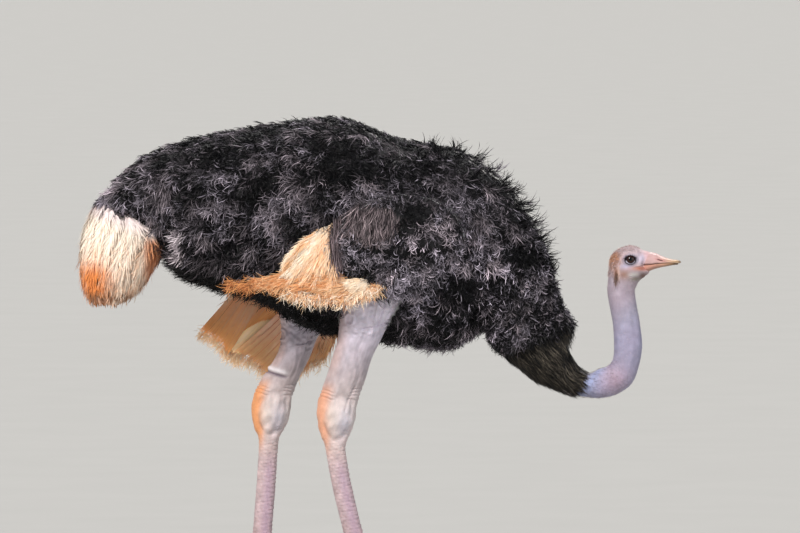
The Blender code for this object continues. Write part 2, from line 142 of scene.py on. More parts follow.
HIP_Y, ANKLE_Y, FOOT_Y = 0.118, 0.108, 0.100
# Each leg, from the hip to the foot: rear edge (x, z), front edge (x, z), distance from the middle
# plane, half width. The right leg is forward and the left one trails.
LEG_ROWS = {
    "right": (
        (-0.097, 0.896, 0.099, 0.918, HIP_Y, 0.074),
        (-0.111, 0.812, 0.071, 0.818, HIP_Y, 0.071),
        (-0.113, 0.750, 0.029, 0.756, HIP_Y, 0.064),
        (-0.116, 0.706, 0.004, 0.706, 0.116, 0.058),
        (-0.127, 0.661, -0.021, 0.655, 0.114, 0.053),
        (-0.144, 0.605, -0.038, 0.599, 0.111, 0.048),
        (-0.164, 0.549, -0.055, 0.549, ANKLE_Y, 0.046),
        (-0.171, 0.515, -0.063, 0.515, ANKLE_Y, 0.046),
        (-0.170, 0.480, -0.067, 0.482, ANKLE_Y, 0.044),
        (-0.163, 0.446, -0.078, 0.450, ANKLE_Y, 0.037),
        (-0.153, 0.415, -0.093, 0.420, 0.107, 0.029),
        (-0.147, 0.380, -0.094, 0.384, 0.107, 0.024),
        (-0.128, 0.280, -0.075, 0.283, 0.105, 0.022),
        (-0.096, 0.150, -0.043, 0.153, 0.102, 0.022),
        (-0.080, 0.090, -0.019, 0.090, FOOT_Y, 0.027),
        (-0.072, 0.046, -0.002, 0.050, FOOT_Y, 0.032),
    ),
    "left": (
        (-0.301, 0.840, -0.097, 0.854, HIP_Y, 0.072),
        (-0.281, 0.756, -0.139, 0.750, HIP_Y, 0.064),
        (-0.276, 0.706, -0.175, 0.700, 0.116, 0.058),
        (-0.285, 0.655, -0.197, 0.644, 0.114, 0.053),
        (-0.318, 0.602, -0.223, 0.594, 0.111, 0.048),
        (-0.346, 0.554, -0.239, 0.554, ANKLE_Y, 0.046),
        (-0.355, 0.522, -0.248, 0.522, ANKLE_Y, 0.046),
        (-0.358, 0.488, -0.251, 0.490, ANKLE_Y, 0.044),
        (-0.351, 0.452, -0.262, 0.454, ANKLE_Y, 0.037),
        (-0.341, 0.424, -0.280, 0.426, 0.107, 0.029),
        (-0.340, 0.388, -0.287, 0.390, 0.107, 0.024),
        (-0.347, 0.280, -0.294, 0.280, 0.105, 0.022),
        (-0.357, 0.150, -0.304, 0.150, 0.102, 0.022),
        (-0.363, 0.090, -0.301, 0.090, FOOT_Y, 0.027),
        (-0.362, 0.046, -0.291, 0.050, FOOT_Y, 0.032),
    ),
}
LEG_POWER = 2.15
# A foot's toes start at its joint. Each toe row: distance from the joint, height, half width.
FOOT_JOINT_X = {"right": -0.036, "left": -0.326}
INNER_TOE_ROWS = (
    (-0.036, 0.034, 0.015),
    (-0.022, 0.054, 0.026),
    (0.004, 0.060, 0.031),
    (0.036, 0.050, 0.0285),
    (0.064, 0.044, 0.0270),
    (0.094, 0.046, 0.0290),
    (0.122, 0.036, 0.0260),
    (0.143, 0.022, 0.0170),
)
OUTER_TOE_ROWS = (
    (0.000, 0.046, 0.018),
    (0.028, 0.042, 0.0190),
    (0.054, 0.034, 0.0175),
    (0.082, 0.034, 0.0190),
    (0.103, 0.026, 0.0165),
    (0.116, 0.016, 0.0100),
)
TOE_POWER = 2.3
SOLE_BELOW = 0.006
# Each toe: its rows, how far it turns out, where it starts beside the joint.
TOES = {
    "inner": (INNER_TOE_ROWS, math.radians(4), 0.0),
    "outer": (OUTER_TOE_ROWS, math.radians(-27), 0.022),
}
# A claw's rows: distance from the joint, middle height, half height, half width.
CLAW_ROWS = {
    "inner": (
        (0.122, 0.0190, 0.0120, 0.0120),
        (0.150, 0.0165, 0.0100, 0.0100),
        (0.170, 0.0115, 0.0070, 0.0065),
        (0.186, 0.0055, 0.0025, 0.0022),
    ),
    "outer": (
        (0.100, 0.0130, 0.0075, 0.0075),
        (0.120, 0.0105, 0.0060, 0.0060),
        (0.133, 0.0065, 0.0025, 0.0022),
    ),
}

# Outlines of the wing pieces in the side view, (x, z), front first and over the top.
COVERTS_OUTLINE = (
    (0.248, 1.002), (0.203, 1.078), (0.113, 1.120), (0.015, 1.116), (-0.077, 1.072),
    (-0.125, 1.019), (-0.126, 0.950), (-0.099, 0.902), (-0.050, 0.876), (0.004, 0.872),
    (0.042, 0.832), (0.095, 0.828), (0.160, 0.862), (0.210, 0.925),
)
COVERTS_THICK, COVERTS_RIM, COVERTS_TUCK = 0.046, 0.012, 0.55
LEFT_COVERTS_DROP = 0.030
FLANK_LIMIT = 0.97

SIDES = (("right", -1), ("left", 1))


# ------------------------------------------------------------------ small helpers

def unit(vectors):
    return vectors / np.maximum(np.linalg.norm(vectors, axis=-1, keepdims=True), 1e-9)


def ease(start, end, value):
    """0 before start, 1 after end and smooth between them; start may be the larger."""
    share = np.clip((value - start) / (end - start), 0.0, 1.0)
    return share * share * (3 - 2 * share)


def bell(value, centre, width):
    return np.exp(-(((value - centre) / width) ** 2))


def blob(p, place, reach):
    """1 at `place`, (x, z) in the side view, and falling off over `reach`, (x, z)."""
    return bell(p[:, 0], place[0], reach[0]) * bell(p[:, 2], place[1], reach[1])


def mixed(a, b, share):
    """Row by row, a where share is 0 and b where it is 1."""
    return a + (np.asarray(b) - a) * np.asarray(share)[:, None]


def srgb(*values):
    """A linear colour from three display values, 0 to 255."""
    shares = np.array(values) / 255
    return np.where(shares <= 0.04045, shares / 12.92, ((shares + 0.055) / 1.055) ** 2.4)


def xyz(x, y, z):
    return np.stack(np.broadcast_arrays(x, y, z), -1)


def turns_of(count):
    return np.arange(count) * 2 * math.pi / count


def section(turn, power):
    """Shares of a section's reach along and across it, round its outline: power 2 is an ellipse."""
    along, across = np.cos(turn), np.sin(turn)
    size = (np.abs(along) ** power + np.abs(across) ** power) ** (-1 / power)
    return along * size, across * size


def read_rows(rows, at, value, *columns):
    """Columns of a table of rows, read where column `at` is `value`, straight between the rows."""
    rows = np.asarray(rows)
    return [np.interp(value, rows[:, at], rows[:, k]) for k in columns]


def curve(rows, t, closed=False):
    """The rows' values at t, a row's number and a share of the way to the next, on a smooth curve."""
    rows, t = np.asarray(rows, float), np.asarray(t, float)
    count = len(rows)
    start = np.clip(np.floor(t).astype(int), 0, count - 1 if closed else count - 2)
    share = (t - start)[:, None]
    near = [start + k for k in (-1, 0, 1, 2)]
    a, b, c, d = (rows[k % count] if closed else rows[np.clip(k, 0, count - 1)] for k in near)
    return 0.5 * (
        2 * b + (c - a) * share + (2 * a - 5 * b + 4 * c - d) * share**2
        + (3 * b - a - 3 * c + d) * share**3
    )


def colour_stops(stops, value):
    """Colours along a line of (place, (r, g, b)) stops, the colours given for the display."""
    rows = [(place, *srgb(*colour)) for place, colour in stops]
    return np.stack(read_rows(rows, 0, value, 1, 2, 3), axis=1)


def waves(p, size, seed, terms=7):
    """A smooth random field over space, about -1 to 1, whose features are about `size` apart."""
    rng = np.random.default_rng(seed)
    directions = unit(rng.normal(size=(terms, 3))) * rng.uniform(0.6, 1.6, (terms, 1))
    phases = rng.uniform(0, 2 * math.pi, terms)
    return np.sin(p @ directions.T * (2 * math.pi / size) + phases).sum(axis=1) / math.sqrt(terms)


# ------------------------------------------------------------------ meshes

def mesh_object(name, vertices, triangles, material, marking=None, uv=None):
    """A smooth mesh piece; `marking` is a colour for each vertex and `uv` a place for each too."""
    mesh = bpy.data.meshes.new(name)
    mesh.vertices.add(len(vertices))
    mesh.vertices.foreach_set("co", np.ascontiguousarray(vertices, np.float32).ravel())
    mesh.loops.add(triangles.size)
    mesh.loops.foreach_set("vertex_index", np.ascontiguousarray(triangles, np.int32).ravel())
    mesh.polygons.add(len(triangles))
    mesh.polygons.foreach_set("loop_start", np.arange(0, triangles.size, 3, dtype=np.int32))
    mesh.update(calc_edges=True)
    if marking is not None:
        paint(mesh, marking)
    if uv is not None:
        corner_uv = uv[triangles.ravel()].astype(np.float32).ravel()
        mesh.uv_layers.new(name="OFBake").uv.foreach_set("vector", corner_uv)
    mesh.shade_smooth()
    mesh.materials.append(material)
    obj = bpy.data.objects.new(name, mesh)
    bpy.context.scene.collection.objects.link(obj)
    return obj


def paint(mesh, marking):
    colours = np.ones((len(marking), 4), np.float32)
    colours[:, :3] = marking
    mesh.attributes.new("marking", "FLOAT_COLOR", "POINT").data.foreach_set("color", colours.ravel())


def read_vertices(mesh, what):
    """The vertices' "co" or "normal", one row for each."""
    values = np.empty(len(mesh.vertices) * 3, np.float32)
    mesh.vertices.foreach_get(what, values)
    return values.reshape(-1, 3).astype(float)


def raise_relief(mesh, relief):
    """Moves each vertex out along its normal by relief(points, normals), and returns the new points."""
    points, normals = read_vertices(mesh, "co"), read_vertices(mesh, "normal")
    points = points + normals * relief(points, normals)[:, None]
    points[:, 2] = np.maximum(points[:, 2], 0)
    mesh.vertices.foreach_set("co", points.astype(np.float32).ravel())
    mesh.update()
    return points


def applied(obj):
    """The object with its modifiers worked into its mesh."""
    graph = bpy.context.evaluated_depsgraph_get()
    mesh = bpy.data.meshes.new_from_object(obj.evaluated_get(graph))
    obj.modifiers.clear()
    obj.data = mesh
    return obj


def band(first, second, count):
    """The triangles between two rings of `count` points that start at these numbers."""
    i = np.arange(count)
    j = (i + 1) % count
    return np.concatenate([
        np.stack([first + i, first + j, second + j], 1), np.stack([first + i, second + j, second + i], 1)
    ])


def fan(ring, middle, count, turned):
    """The triangles between a ring of `count` points and a point in its middle."""
    i = np.arange(count)
    j = (i + 1) % count
    ends = (ring + j, ring + i) if turned else (ring + i, ring + j)
    return np.stack([*ends, np.full(count, middle)], 1)


def closed_tube(rings):
    """Vertices and triangles of a tube through equal rings, closed by a fan at each end."""
    rings = np.asarray(rings)
    rows, count, _ = rings.shape
    vertices = np.concatenate([rings.reshape(-1, 3), [rings[0].mean(0), rings[-1].mean(0)]])
    middle = rows * count
    parts = [band(r * count, (r + 1) * count, count) for r in range(rows - 1)]
    parts += [fan(0, middle, count, True), fan((rows - 1) * count, middle + 1, count, False)]
    return vertices, outward(vertices, np.concatenate(parts))


def outward(vertices, triangles):
    """The triangles turned so that a closed surface's volume counts as positive."""
    a, b, c = (vertices[triangles[:, k]] for k in range(3))
    volume = np.einsum("ij,ij->i", a, np.cross(b, c)).sum()
    return triangles if volume > 0 else triangles[:, ::-1]


# ------------------------------------------------------------------ the spine's surface

# The step over which a surface's directions are measured.
SMALL_STEP = 1e-3


def spine_point(t, turn):
    """Points of the body's outer surface: turn 0 is the back, a quarter turn is the left flank."""
    ux, uz, lx, lz, half = curve(SPINE, t).T
    waist, power = np.interp(t, *WAIST_ALONG), np.interp(t, *POWER_ALONG)
    along, across = section(turn, power)
    mx, mz = ux + waist * (lx - ux), uz + waist * (lz - uz)
    up = along > 0
    rx, rz = np.where(up, ux - mx, lx - mx), np.where(up, uz - mz, lz - mz)
    return xyz(mx + rx * np.abs(along), half * across, mz + rz * np.abs(along))


def spine_frame(t, turn):
    """Point, outward normal, and unit directions along the spine and round it."""
    along = unit(spine_point(t + SMALL_STEP, turn) - spine_point(t - SMALL_STEP, turn))
    around = unit(spine_point(t, turn + SMALL_STEP) - spine_point(t, turn - SMALL_STEP))
    return spine_point(t, turn), unit(np.cross(along, around)), along, around


def spine_length():
    """Distance along the middle of the body to each hundredth of a row."""
    t = np.linspace(0, BILL_ROOT, BILL_ROOT * 100 + 1)
    rows = curve(SPINE, t)
    middle = (rows[:, 0:2] + rows[:, 2:4]) / 2
    steps = np.linalg.norm(np.diff(middle, axis=0), axis=1)
    return t, np.concatenate([[0], np.cumsum(steps)])


LENGTH_T, LENGTH = spine_length()


def evenly(start, end, spacing):
    """Places on the spine from start to end, evenly apart along the middle of the body."""
    first, last = np.interp((start, end), LENGTH_T, LENGTH)
    count = max(int(round((last - first) / spacing)), 1)
    return np.interp(np.linspace(first, last, count + 1), LENGTH, LENGTH_T)


# ------------------------------------------------------------------ colours of skin and coat

BLACK_SKIN = srgb(26, 24, 27)
NECK_COLOURS = (
    (SKIN_EDGE, (166, 168, 200)), (22, (170, 164, 192)), (23, (168, 156, 178)), (24.3, (160, 154, 178)),
    (25.4, (162, 158, 184)), (26.6, (170, 160, 178)), (THROAT, (172, 161, 175)), (31, (188, 170, 176)),
    (BILL_ROOT, (205, 178, 180)),
)
# Patches on the head: middle (x, z), reach (x, z), colour.
HEAD_PATCHES = (
    ((0.690, 0.960), (0.030, 0.012), (190, 172, 178)),
    ((0.655, 0.934), (0.015, 0.016), (204, 146, 108)),
    ((0.652, 0.906), (0.013, 0.016), (188, 150, 136)),
    ((0.684, 0.884), (0.018, 0.015), (168, 130, 118)),
    ((0.690, 0.908), (0.018, 0.007), (188, 180, 204)),
    ((0.750, 0.930), (0.018, 0.026), (214, 170, 170)),
    ((0.732, 0.930), (0.013, 0.014), (220, 206, 224)),
    ((0.732, 0.902), (0.028, 0.007), (226, 158, 138)),
    ((0.712, 0.884), (0.016, 0.006), (206, 200, 196)),
    # These two patches, under the jaw and the lower bill, are painted shade.
    ((0.716, 0.872), (0.018, 0.007), (150, 140, 130)),
    ((0.738, 0.880), (0.013, 0.010), (122, 92, 84)),
    # A pale line on the ear's front rim, a painted highlight, and a darker one in the groove behind the ear,
    # painted shade.
    ((0.668, 0.886), (0.004, 0.020), (226, 192, 178)),
    ((0.6605, 0.888), (0.0055, 0.016), (160, 112, 84)),
)
# The ear pit's colour is painted shade, the dark inside the ear's opening.
LID_COLOUR, LASH_LINE, EAR_PIT_SHADE = srgb(150, 142, 160), srgb(30, 24, 28), srgb(34, 18, 14)
# Leg colours by height. The stops from 0.78 up are painted lighter than the thigh's skin: painted light
# against the shadow of the coat that hangs over it.
LEG_COLOURS = (
    (0.03, (150, 122, 116)), (0.10, (186, 160, 160)), (0.22, (196, 172, 174)), (0.36, (204, 180, 180)),
    (0.43, (220, 198, 192)), (0.49, (232, 214, 204)), (0.545, (206, 190, 188)), (0.62, (188, 175, 180)),
    (0.72, (214, 204, 218)), (0.78, (246, 236, 250)), (0.86, (250, 242, 254)),
)
# The warm colour of the back of each ankle, and how strong it is.
ANKLE_BACKS = {"right": (srgb(236, 166, 128), 0.85), "left": (srgb(236, 160, 104), 0.95)}
# The sleek feathers end along a slanting line across the neck's foot: a place on it, and the way past it.
EDGE_PLACE, EDGE_WAY = (0.570, 0.5825), (0.798, -0.603)


def past_edge(p, t):
    """How far past the sleek feathers' edge each place is, in metres."""
    past = (p[:, 0] - EDGE_PLACE[0]) * EDGE_WAY[0] + (p[:, 2] - EDGE_PLACE[1]) * EDGE_WAY[1]
    return np.where(t > 23.5, 1.0, np.where(t < 17, -1.0, past))


def body_marking(p, t):
    """Colour of the trunk, neck and head."""
    colour = colour_stops(NECK_COLOURS, t)
    warm = waves(p, 0.11, 21)[:, None] * np.array([0.05, -0.02, -0.04])
    colour = colour * (1 + warm + 0.05 * waves(p, 0.035, 22)[:, None])
    on_head = ease(THROAT, 30, t)
    for place, reach, patch in HEAD_PATCHES:
        colour = mixed(colour, srgb(*patch), on_head * blob(p, place, reach))
    sideways = on_head * ease(0.018, 0.030, np.abs(p[:, 1]))
    # Each fold under the mouth's corner is painted darker red along its groove: painted shade in the crease.
    for strength, above, _ in mouth_folds(p[:, 0], p[:, 2]):
        colour = mixed(colour, srgb(196, 104, 88), 0.6 * on_head * strength * bell(above, 0, 0.0010))
    out = eye_distance(p)
    colour = mixed(colour, LID_COLOUR, 0.7 * sideways * ease(1.9, 1.2, out))
    colour = mixed(colour, LASH_LINE, sideways * ease(1.22, 1.05, out))
    # The ear's opening is painted near black: painted shade in the pit.
    colour = mixed(colour, EAR_PIT_SHADE, sideways * ease(0.15, 0.65, ear_pit(p)))
    past = past_edge(p, t)
    colour = mixed(colour, srgb(158, 170, 212), 0.6 * bell(past, 0.014, 0.012))
    return mixed(colour, BLACK_SKIN, ease(0.004, -0.010, past))


def leg_marking(name, p):
    """Colour of one leg and foot."""
    z = p[:, 2]
    along, _, around = leg_place(name, p)
    mottle = 0.07 * waves(p, 0.045, 31) + 0.06 * waves(p, 0.016, 32)
    colour = colour_stops(LEG_COLOURS, z) * (1 + mottle[:, None])
    warm, strength = ANKLE_BACKS[name]
    at_back = ease(1.75, 2.6, np.abs(around)) * ease(0.36, 0.45, z) * ease(0.60, 0.55, z)
    colour = mixed(colour, warm, strength * at_back)
    tinge = ease(1.9, 2.7, np.abs(around)) * ease(0.56, 0.66, z)
    colour = mixed(colour, srgb(220, 178, 160), 0.45 * tinge)
    if name == "left":
        # The deep fold on the left thigh: its raised lip is painted near white, a painted highlight, and its
        # crease dark, painted shade.
        pale = bell(far_fold(p), 0.012, 0.007) * ease(0.4, -0.1, along)
        dark = bell(far_fold(p), 0.0, 0.004) * ease(0.5, 0.0, along)
        colour = mixed(mixed(colour, srgb(250, 244, 248), 0.8 * pale), srgb(84, 70, 92), 0.75 * dark)
    bluish = bell(along, 0.45, 0.5) * bell(z, 0.475, 0.05)
    colour = mixed(colour, srgb(206, 206, 226), 0.6 * bluish)
    return mixed(colour, srgb(178, 148, 176), 0.5 * ease(0.40, 0.32, z) * bell(along, 0.3, 0.6) * (z > 0.1))


# ------------------------------------------------------------------ relief of the skin

# Half length and half height of the eye's opening, and how thick its lids are.
EYE_OPENING = (0.0150, 0.0113)
LID_THICK = 0.0013
# Points this close to the eye's opening, as a share of its size, are drawn on to its edge.
LID_EDGE = 0.035
EAR_PLACE, EAR_REACH = (0.6600, 0.8715), (0.0050, 0.0088)
# The corner of the mouth and the place where its line meets the bill.
GAPE = ((0.7120, 0.9045), (0.7460, 0.9100))
# The brow, the hollow before the eye, the cheek and the groove behind the ear: height, place and reach.
HEAD_BLOBS = (
    (0.0018, (0.703, 0.9465), (0.019, 0.0035)),
    (-0.0022, (0.7265, 0.9290), (0.0065, 0.012)),
    (0.0016, (0.689, 0.892), (0.012, 0.010)),
    (-0.0022, (0.6600, 0.890), (0.0032, 0.011)),
)


def eye_distance(p):
    """Distance from the middle of the eye's opening: its edge is at 1."""
    return np.hypot((p[:, 0] - EYE[0]) / EYE_OPENING[0], (p[:, 2] - EYE[1]) / EYE_OPENING[1])


def ear_pit(p):
    """1 in the middle of the ear's opening, which leans."""
    up = p[:, 2] - EAR_PLACE[1]
    return bell(p[:, 0] - EAR_PLACE[0] - 0.12 * up, 0, EAR_REACH[0]) * bell(up, 0, EAR_REACH[1])


def head_bumps(p):
    """How far the head's skin stands out of its plain shape, seen from the side."""
    x, z = p[:, 0], p[:, 2]
    out = eye_distance(p)
    above = ease(-0.004, 0.004, z - EYE[1])
    rise = 0.0006 * bell(out, 1.13, 0.07) - 0.0009 * bell(out, 1.33, 0.06)
    rise += above * (0.0006 * bell(out, 1.50, 0.08) - 0.0008 * bell(out, 1.68, 0.07))
    rise -= (1 - above) * 0.0006 * bell(out, 1.62, 0.08)
    for height, place, reach in HEAD_BLOBS:
        rise += height * blob(p, place, reach)
    rise -= 0.0060 * ear_pit(p)
    front_rim, rear_rim = x - 0.6690 - 6.0 * (z - 0.888) ** 2, x - 0.6490 - 0.08 * (z - 0.88)
    rise += 0.0019 * bell(front_rim, 0, 0.0021) * ease(0.862, 0.868, z) * ease(0.912, 0.904, z)
    rise += 0.0010 * bell(rear_rim, 0, 0.003) * ease(0.856, 0.866, z) * ease(0.900, 0.890, z)
    return rise + mouth_corner(x, z) + throat_folds(x, z)


# The folds that bunch under the corner of the mouth: how far below its line, where each begins, how deep.
MOUTH_FOLDS = ((0.0034, 0.714, 0.0016), (0.0066, 0.718, 0.0014), (0.0100, 0.724, 0.0011))


def gape_line(x):
    """Height of the mouth's line behind the bill."""
    (x0, z0), (x1, z1) = GAPE
    return z0 + (z1 - z0) * (x - x0) / (x1 - x0)


def mouth_folds(x, z):
    """For each fold under the corner of the mouth: how strong it is, how far above it z lies, its depth."""
    for below, begins, depth in MOUTH_FOLDS:
        yield ease(begins, begins + 0.008, x), z - gape_line(x) + below + 0.12 * (x - 0.73), depth


def mouth_corner(x, z):
    """The line of the mouth behind the bill, and the folds that bunch under it."""
    start = ease(GAPE[0][0] - 0.003, GAPE[0][0] + 0.006, x)
    line = z - gape_line(x)
    rise = start * (0.0006 * bell(line, 0.0024, 0.0014) - 0.0020 * bell(line, 0, 0.0010))
    for strength, above, depth in mouth_folds(x, z):
        rise += strength * depth * (0.6 * bell(above, 0.0017, 0.0011) - bell(above, 0, 0.0009))
    return rise


def throat_folds(x, z):
    """Slanting folds of loose skin under the jaw."""
    fold = np.sin((z - 0.55 * (x - 0.70)) * 2 * math.pi / 0.0052 + 1.6 * np.sin(x * 260))
    return 0.0008 * fold * bell(x, 0.708, 0.020) * bell(z, 0.880, 0.009)


def with_eye(p):
    """Closes the lids round each eyeball: the skin drapes over it, and dips behind it inside the lids."""
    side = np.sign(p[:, 1])
    out = eye_distance(p)
    edge = np.abs(out - 1) < LID_EDGE
    pull = np.where(edge, 1 / np.maximum(out, 0.5), 1.0)
    x, z = EYE[0] + (p[:, 0] - EYE[0]) * pull, EYE[1] + (p[:, 2] - EYE[1]) * pull
    out = np.where(edge, 1.0, out)
    far = (x - EYE[0]) ** 2 + (z - EYE[1]) ** 2
    over_ball = EYE_Y + np.sqrt(np.maximum((EYE_RADIUS + LID_THICK) ** 2 - far, 0))
    in_ball = EYE_Y + np.sqrt(np.maximum(EYE_RADIUS**2 - far, 0)) - 0.0040
    y = np.abs(p[:, 1])
    draped = (y + over_ball + np.hypot(y - over_ball, 0.002)) / 2
    draped = np.where(far < (EYE_RADIUS + LID_THICK) ** 2 * 1.1, draped, y)
    on_flank = y > 0.018
    y = np.where(on_flank, mixed(draped[:, None], in_ball[:, None], ease(1.0, 0.90, out))[:, 0], y)
    return xyz(np.where(on_flank, x, p[:, 0]), side * y, np.where(on_flank, z, p[:, 2]))


# How far the skin's front edge reaches past the head's end, by height: it is furthest back at the gape.
FRONT_EDGE_Z = (0.889, 0.899, 0.907, 0.914, 0.930, 0.949)
FRONT_EDGE_X = (0.010, 0.004, -0.006, -0.005, 0.001, 0.011)
# How much larger than the bill the skin is that covers its root.
OVER_BILL = 1.022


def onto_bill(p, weight):
    """Moves points on to the bill's own surface, so that skin and horn meet flush."""
    x, y, z = p.T
    fitted = p.copy()
    upper = z > GAPE[1][1] + 0.0005
    for (rows, waist, tucked), part in zip(BILL_SHAPES.values(), (upper, ~upper)):
        top, bottom, half = read_rows(rows, 0, x, 1, 2, 3)
        top = top + tucked
        middle = top + waist * (bottom - top)
        reach = np.where(z > middle, top - middle, middle - bottom)
        sides = np.abs([y / half, (z - middle) / reach])
        size = (sides**BILL_POWER).sum(0) ** (1 / BILL_POWER)
        grown = OVER_BILL / np.maximum(size, 0.2)
        fitted[part, 1] = (y * grown)[part]
        fitted[part, 2] = (middle + (z - middle) * grown)[part]
    return mixed(p, fitted, weight)


def head_surface(t, turn):
    """The head, with its eyelids, and its front edge on the bill."""
    p, normal, _, _ = spine_frame(t, turn)
    sideways = ease(0.20, 0.60, np.abs(normal[:, 1])) * ease(THROAT + 0.2, 29.5, t)
    p = p + normal * (head_bumps(p) * sideways)[:, None]
    p = with_eye(p)
    p[:, 0] += np.interp(p[:, 2], FRONT_EDGE_Z, FRONT_EDGE_X) * ease(0.724, 0.746, p[:, 0])
    return onto_bill(p, ease(BILL_ROOT - 1.3, BILL_ROOT - 0.1, t))


def neck_wrinkles(p, t, turn):
    """Fine rings, slanting creases at the bend, and a furrow on each side of the windpipe."""
    length = np.interp(t, LENGTH_T, LENGTH)
    rings = np.sin(2 * math.pi * length / 0.0072 + 1.8 * waves(p, 0.05, 41))
    rise = 0.00022 * rings * (0.6 + 0.5 * waves(p, 0.06, 42))
    slant = np.sin(2 * math.pi * (p[:, 0] * 0.75 + p[:, 2] * 0.65) / 0.011 + 1.5 * waves(p, 0.03, 43))
    rise += 0.00045 * slant * bell(t, 23.4, 1.0)
    from_throat = math.pi - np.abs(np.mod(turn, 2 * math.pi) - math.pi)
    furrow = bell(from_throat, 2.18, 0.20) * ease(22, 24, t) * ease(28.6, 27.4, t)
    return (rise - 0.0011 * furrow) * ease(SKIN_EDGE - 0.6, SKIN_EDGE + 0.2, t)


# The coat hangs over the top of each thigh down to this height, and the trunk is drawn in under it.
THIGH_HEM = {"right": 0.832, "left": 0.800}
THIGH_TUCK = HIP_Y + 0.036


def behind_thighs(p):
    """Draws the trunk's skin in beside each thigh, so that the thigh shows up to its hem."""
    for name, side in SIDES:
        along, _, _ = leg_place(name, p)
        near = ease(1.12, 0.98, np.abs(along)) * ease(0.018, 0.003, p[:, 2] - THIGH_HEM[name])
        p[:, 1] -= side * near * np.maximum(p[:, 1] * side - THIGH_TUCK, 0)
    return p


def neck_surface(t, turn):
    """The trunk, under its coat, and the neck."""
    p, normal, _, _ = spine_frame(t, turn)
    p = p + normal * (neck_wrinkles(p, t, turn) - np.interp(t, *COAT_ALONG))[:, None]
    return behind_thighs(p)


# ------------------------------------------------------------------ the body's skin

NECK_SIDES, HEAD_SIDES = 128, 256
TRUNK_STEP, COLLAR_STEP, NECK_STEP, HEAD_STEP = 0.012, 0.009, 0.0023, 0.0008
# The lip of skin that turns in round the bill: how far forward and how far in each of its rings is.
LIP_RINGS = ((0.0004, 0.0006), (0.0000, 0.0018), (-0.0030, 0.0030), (-0.0140, 0.0040))
MOUTH_HEIGHT = 0.919


def rings_of(surface, places, sides):
    """Rings of a surface at places along the spine, and the place of each of their points."""
    rings = [surface(np.full(sides, t), turns_of(sides)) for t in places]
    return np.stack(rings), np.repeat(places, sides)


def bill_lip(last):
    """Rings that follow the head's last one and turn in round the bill."""
    inward = unit(xyz(last[:, 0], 0.0, MOUTH_HEIGHT) - last)
    return np.stack([last + inward * shrink + np.array([ahead, 0, 0]) for ahead, shrink in LIP_RINGS])


def build_body_skin(material):
    """Trunk, neck and head in one closed mesh, whose rings have twice the points from the throat on."""
    places = np.concatenate([
        evenly(0, SHOULDER, TRUNK_STEP), evenly(SHOULDER, COLLAR_END, COLLAR_STEP)[1:],
        evenly(COLLAR_END, THROAT, NECK_STEP)[1:],
    ])
    body, body_t = rings_of(neck_surface, places, NECK_SIDES)
    head, head_t = rings_of(head_surface, evenly(THROAT, BILL_ROOT, HEAD_STEP)[1:], HEAD_SIDES)
    lip = bill_lip(head[-1])
    head = np.concatenate([head, lip])
    head_t = np.concatenate([head_t, np.full(lip[..., 0].size, float(BILL_ROOT))])
    n, m = NECK_SIDES, HEAD_SIDES
    first_head = len(body) * n
    caps = np.stack([body[0].mean(0), head[-1].mean(0)])
    vertices = np.concatenate([body.reshape(-1, 3), head.reshape(-1, 3), caps])
    middle = len(vertices) - 2
    i = np.arange(n)
    j, a, b = (i + 1) % n, (len(body) - 1) * n, first_head
    doubling = [
        np.stack([a + i, b + 2 * i + 1, b + 2 * i], 1), np.stack([a + i, a + j, b + 2 * i + 1], 1),
        np.stack([a + j, b + (2 * i + 2) % m, b + 2 * i + 1], 1),
    ]
    triangles = [band(r * n, (r + 1) * n, n) for r in range(len(body) - 1)] + doubling
    triangles += [band(b + r * m, b + (r + 1) * m, m) for r in range(len(head) - 1)]
    triangles += [fan(0, middle, n, True), fan(b + (len(head) - 1) * m, middle + 1, m, False)]
    t = np.concatenate([body_t, head_t, [0.0, BILL_ROOT]])
    triangles = outward(vertices, np.concatenate(triangles))
    return mesh_object("skin", vertices, triangles, material, body_marking(vertices, t))


# ------------------------------------------------------------------ legs and feet

LEG_VOXEL = 0.0029
LEG_STEPS, LEG_SIDES, TOE_STEPS, TOE_SIDES = 8, 56, 6, 40
# Heights of the creases round an ankle, at its back and at its front, and how far apart the scutes are.
BACK_CREASES, FRONT_CREASES = (0.563, 0.554, 0.544), (0.572, 0.560, 0.549, 0.537, 0.452, 0.444)
SHANK_SCUTES, TOE_SCUTES = 0.0120, 0.0095


def loft_ring(upper, lower, half, sides, power):
    """Points round a section between two places that is twice `half` wide."""
    along, across = section(turns_of(sides), power)
    upper, lower = np.array(upper), np.array(lower)
    middle, reach = (upper + lower) / 2, (upper - lower) / 2
    return middle + reach * along[:, None] + np.array([0, half, 0]) * across[:, None]


def between_rows(rows, steps):
    """Rows on a smooth curve through these, with `steps` to each of them."""
    return curve(rows, np.linspace(0, len(rows) - 1, (len(rows) - 1) * steps + 1))


def leg_rings(name, side):
    return np.stack([
        loft_ring((ax, side * y, az), (bx, side * y, bz), half, LEG_SIDES, LEG_POWER)
        for ax, az, bx, bz, y, half in between_rows(LEG_ROWS[name], LEG_STEPS)
    ])


def foot_place(name, side, toe, p):
    """Points of a toe or its claw, laid out along +X from the foot's joint, put where the foot is."""
    _, turn, start = TOES[toe]
    cos, sin = math.cos(turn), -side * math.sin(turn)
    x, y = p[..., 0], p[..., 1] + side * start
    return xyz(x * cos - y * sin + FOOT_JOINT_X[name], x * sin + y * cos + side * FOOT_Y, p[..., 2])


def toe_rings(name, side, toe):
    rings = np.stack([
        loft_ring((along, 0, height), (along, 0, -SOLE_BELOW), half, TOE_SIDES, TOE_POWER)
        for along, height, half in between_rows(TOES[toe][0], TOE_STEPS)
    ])
    rings[..., 2] = np.maximum(rings[..., 2], 0)
    return foot_place(name, side, toe, rings)


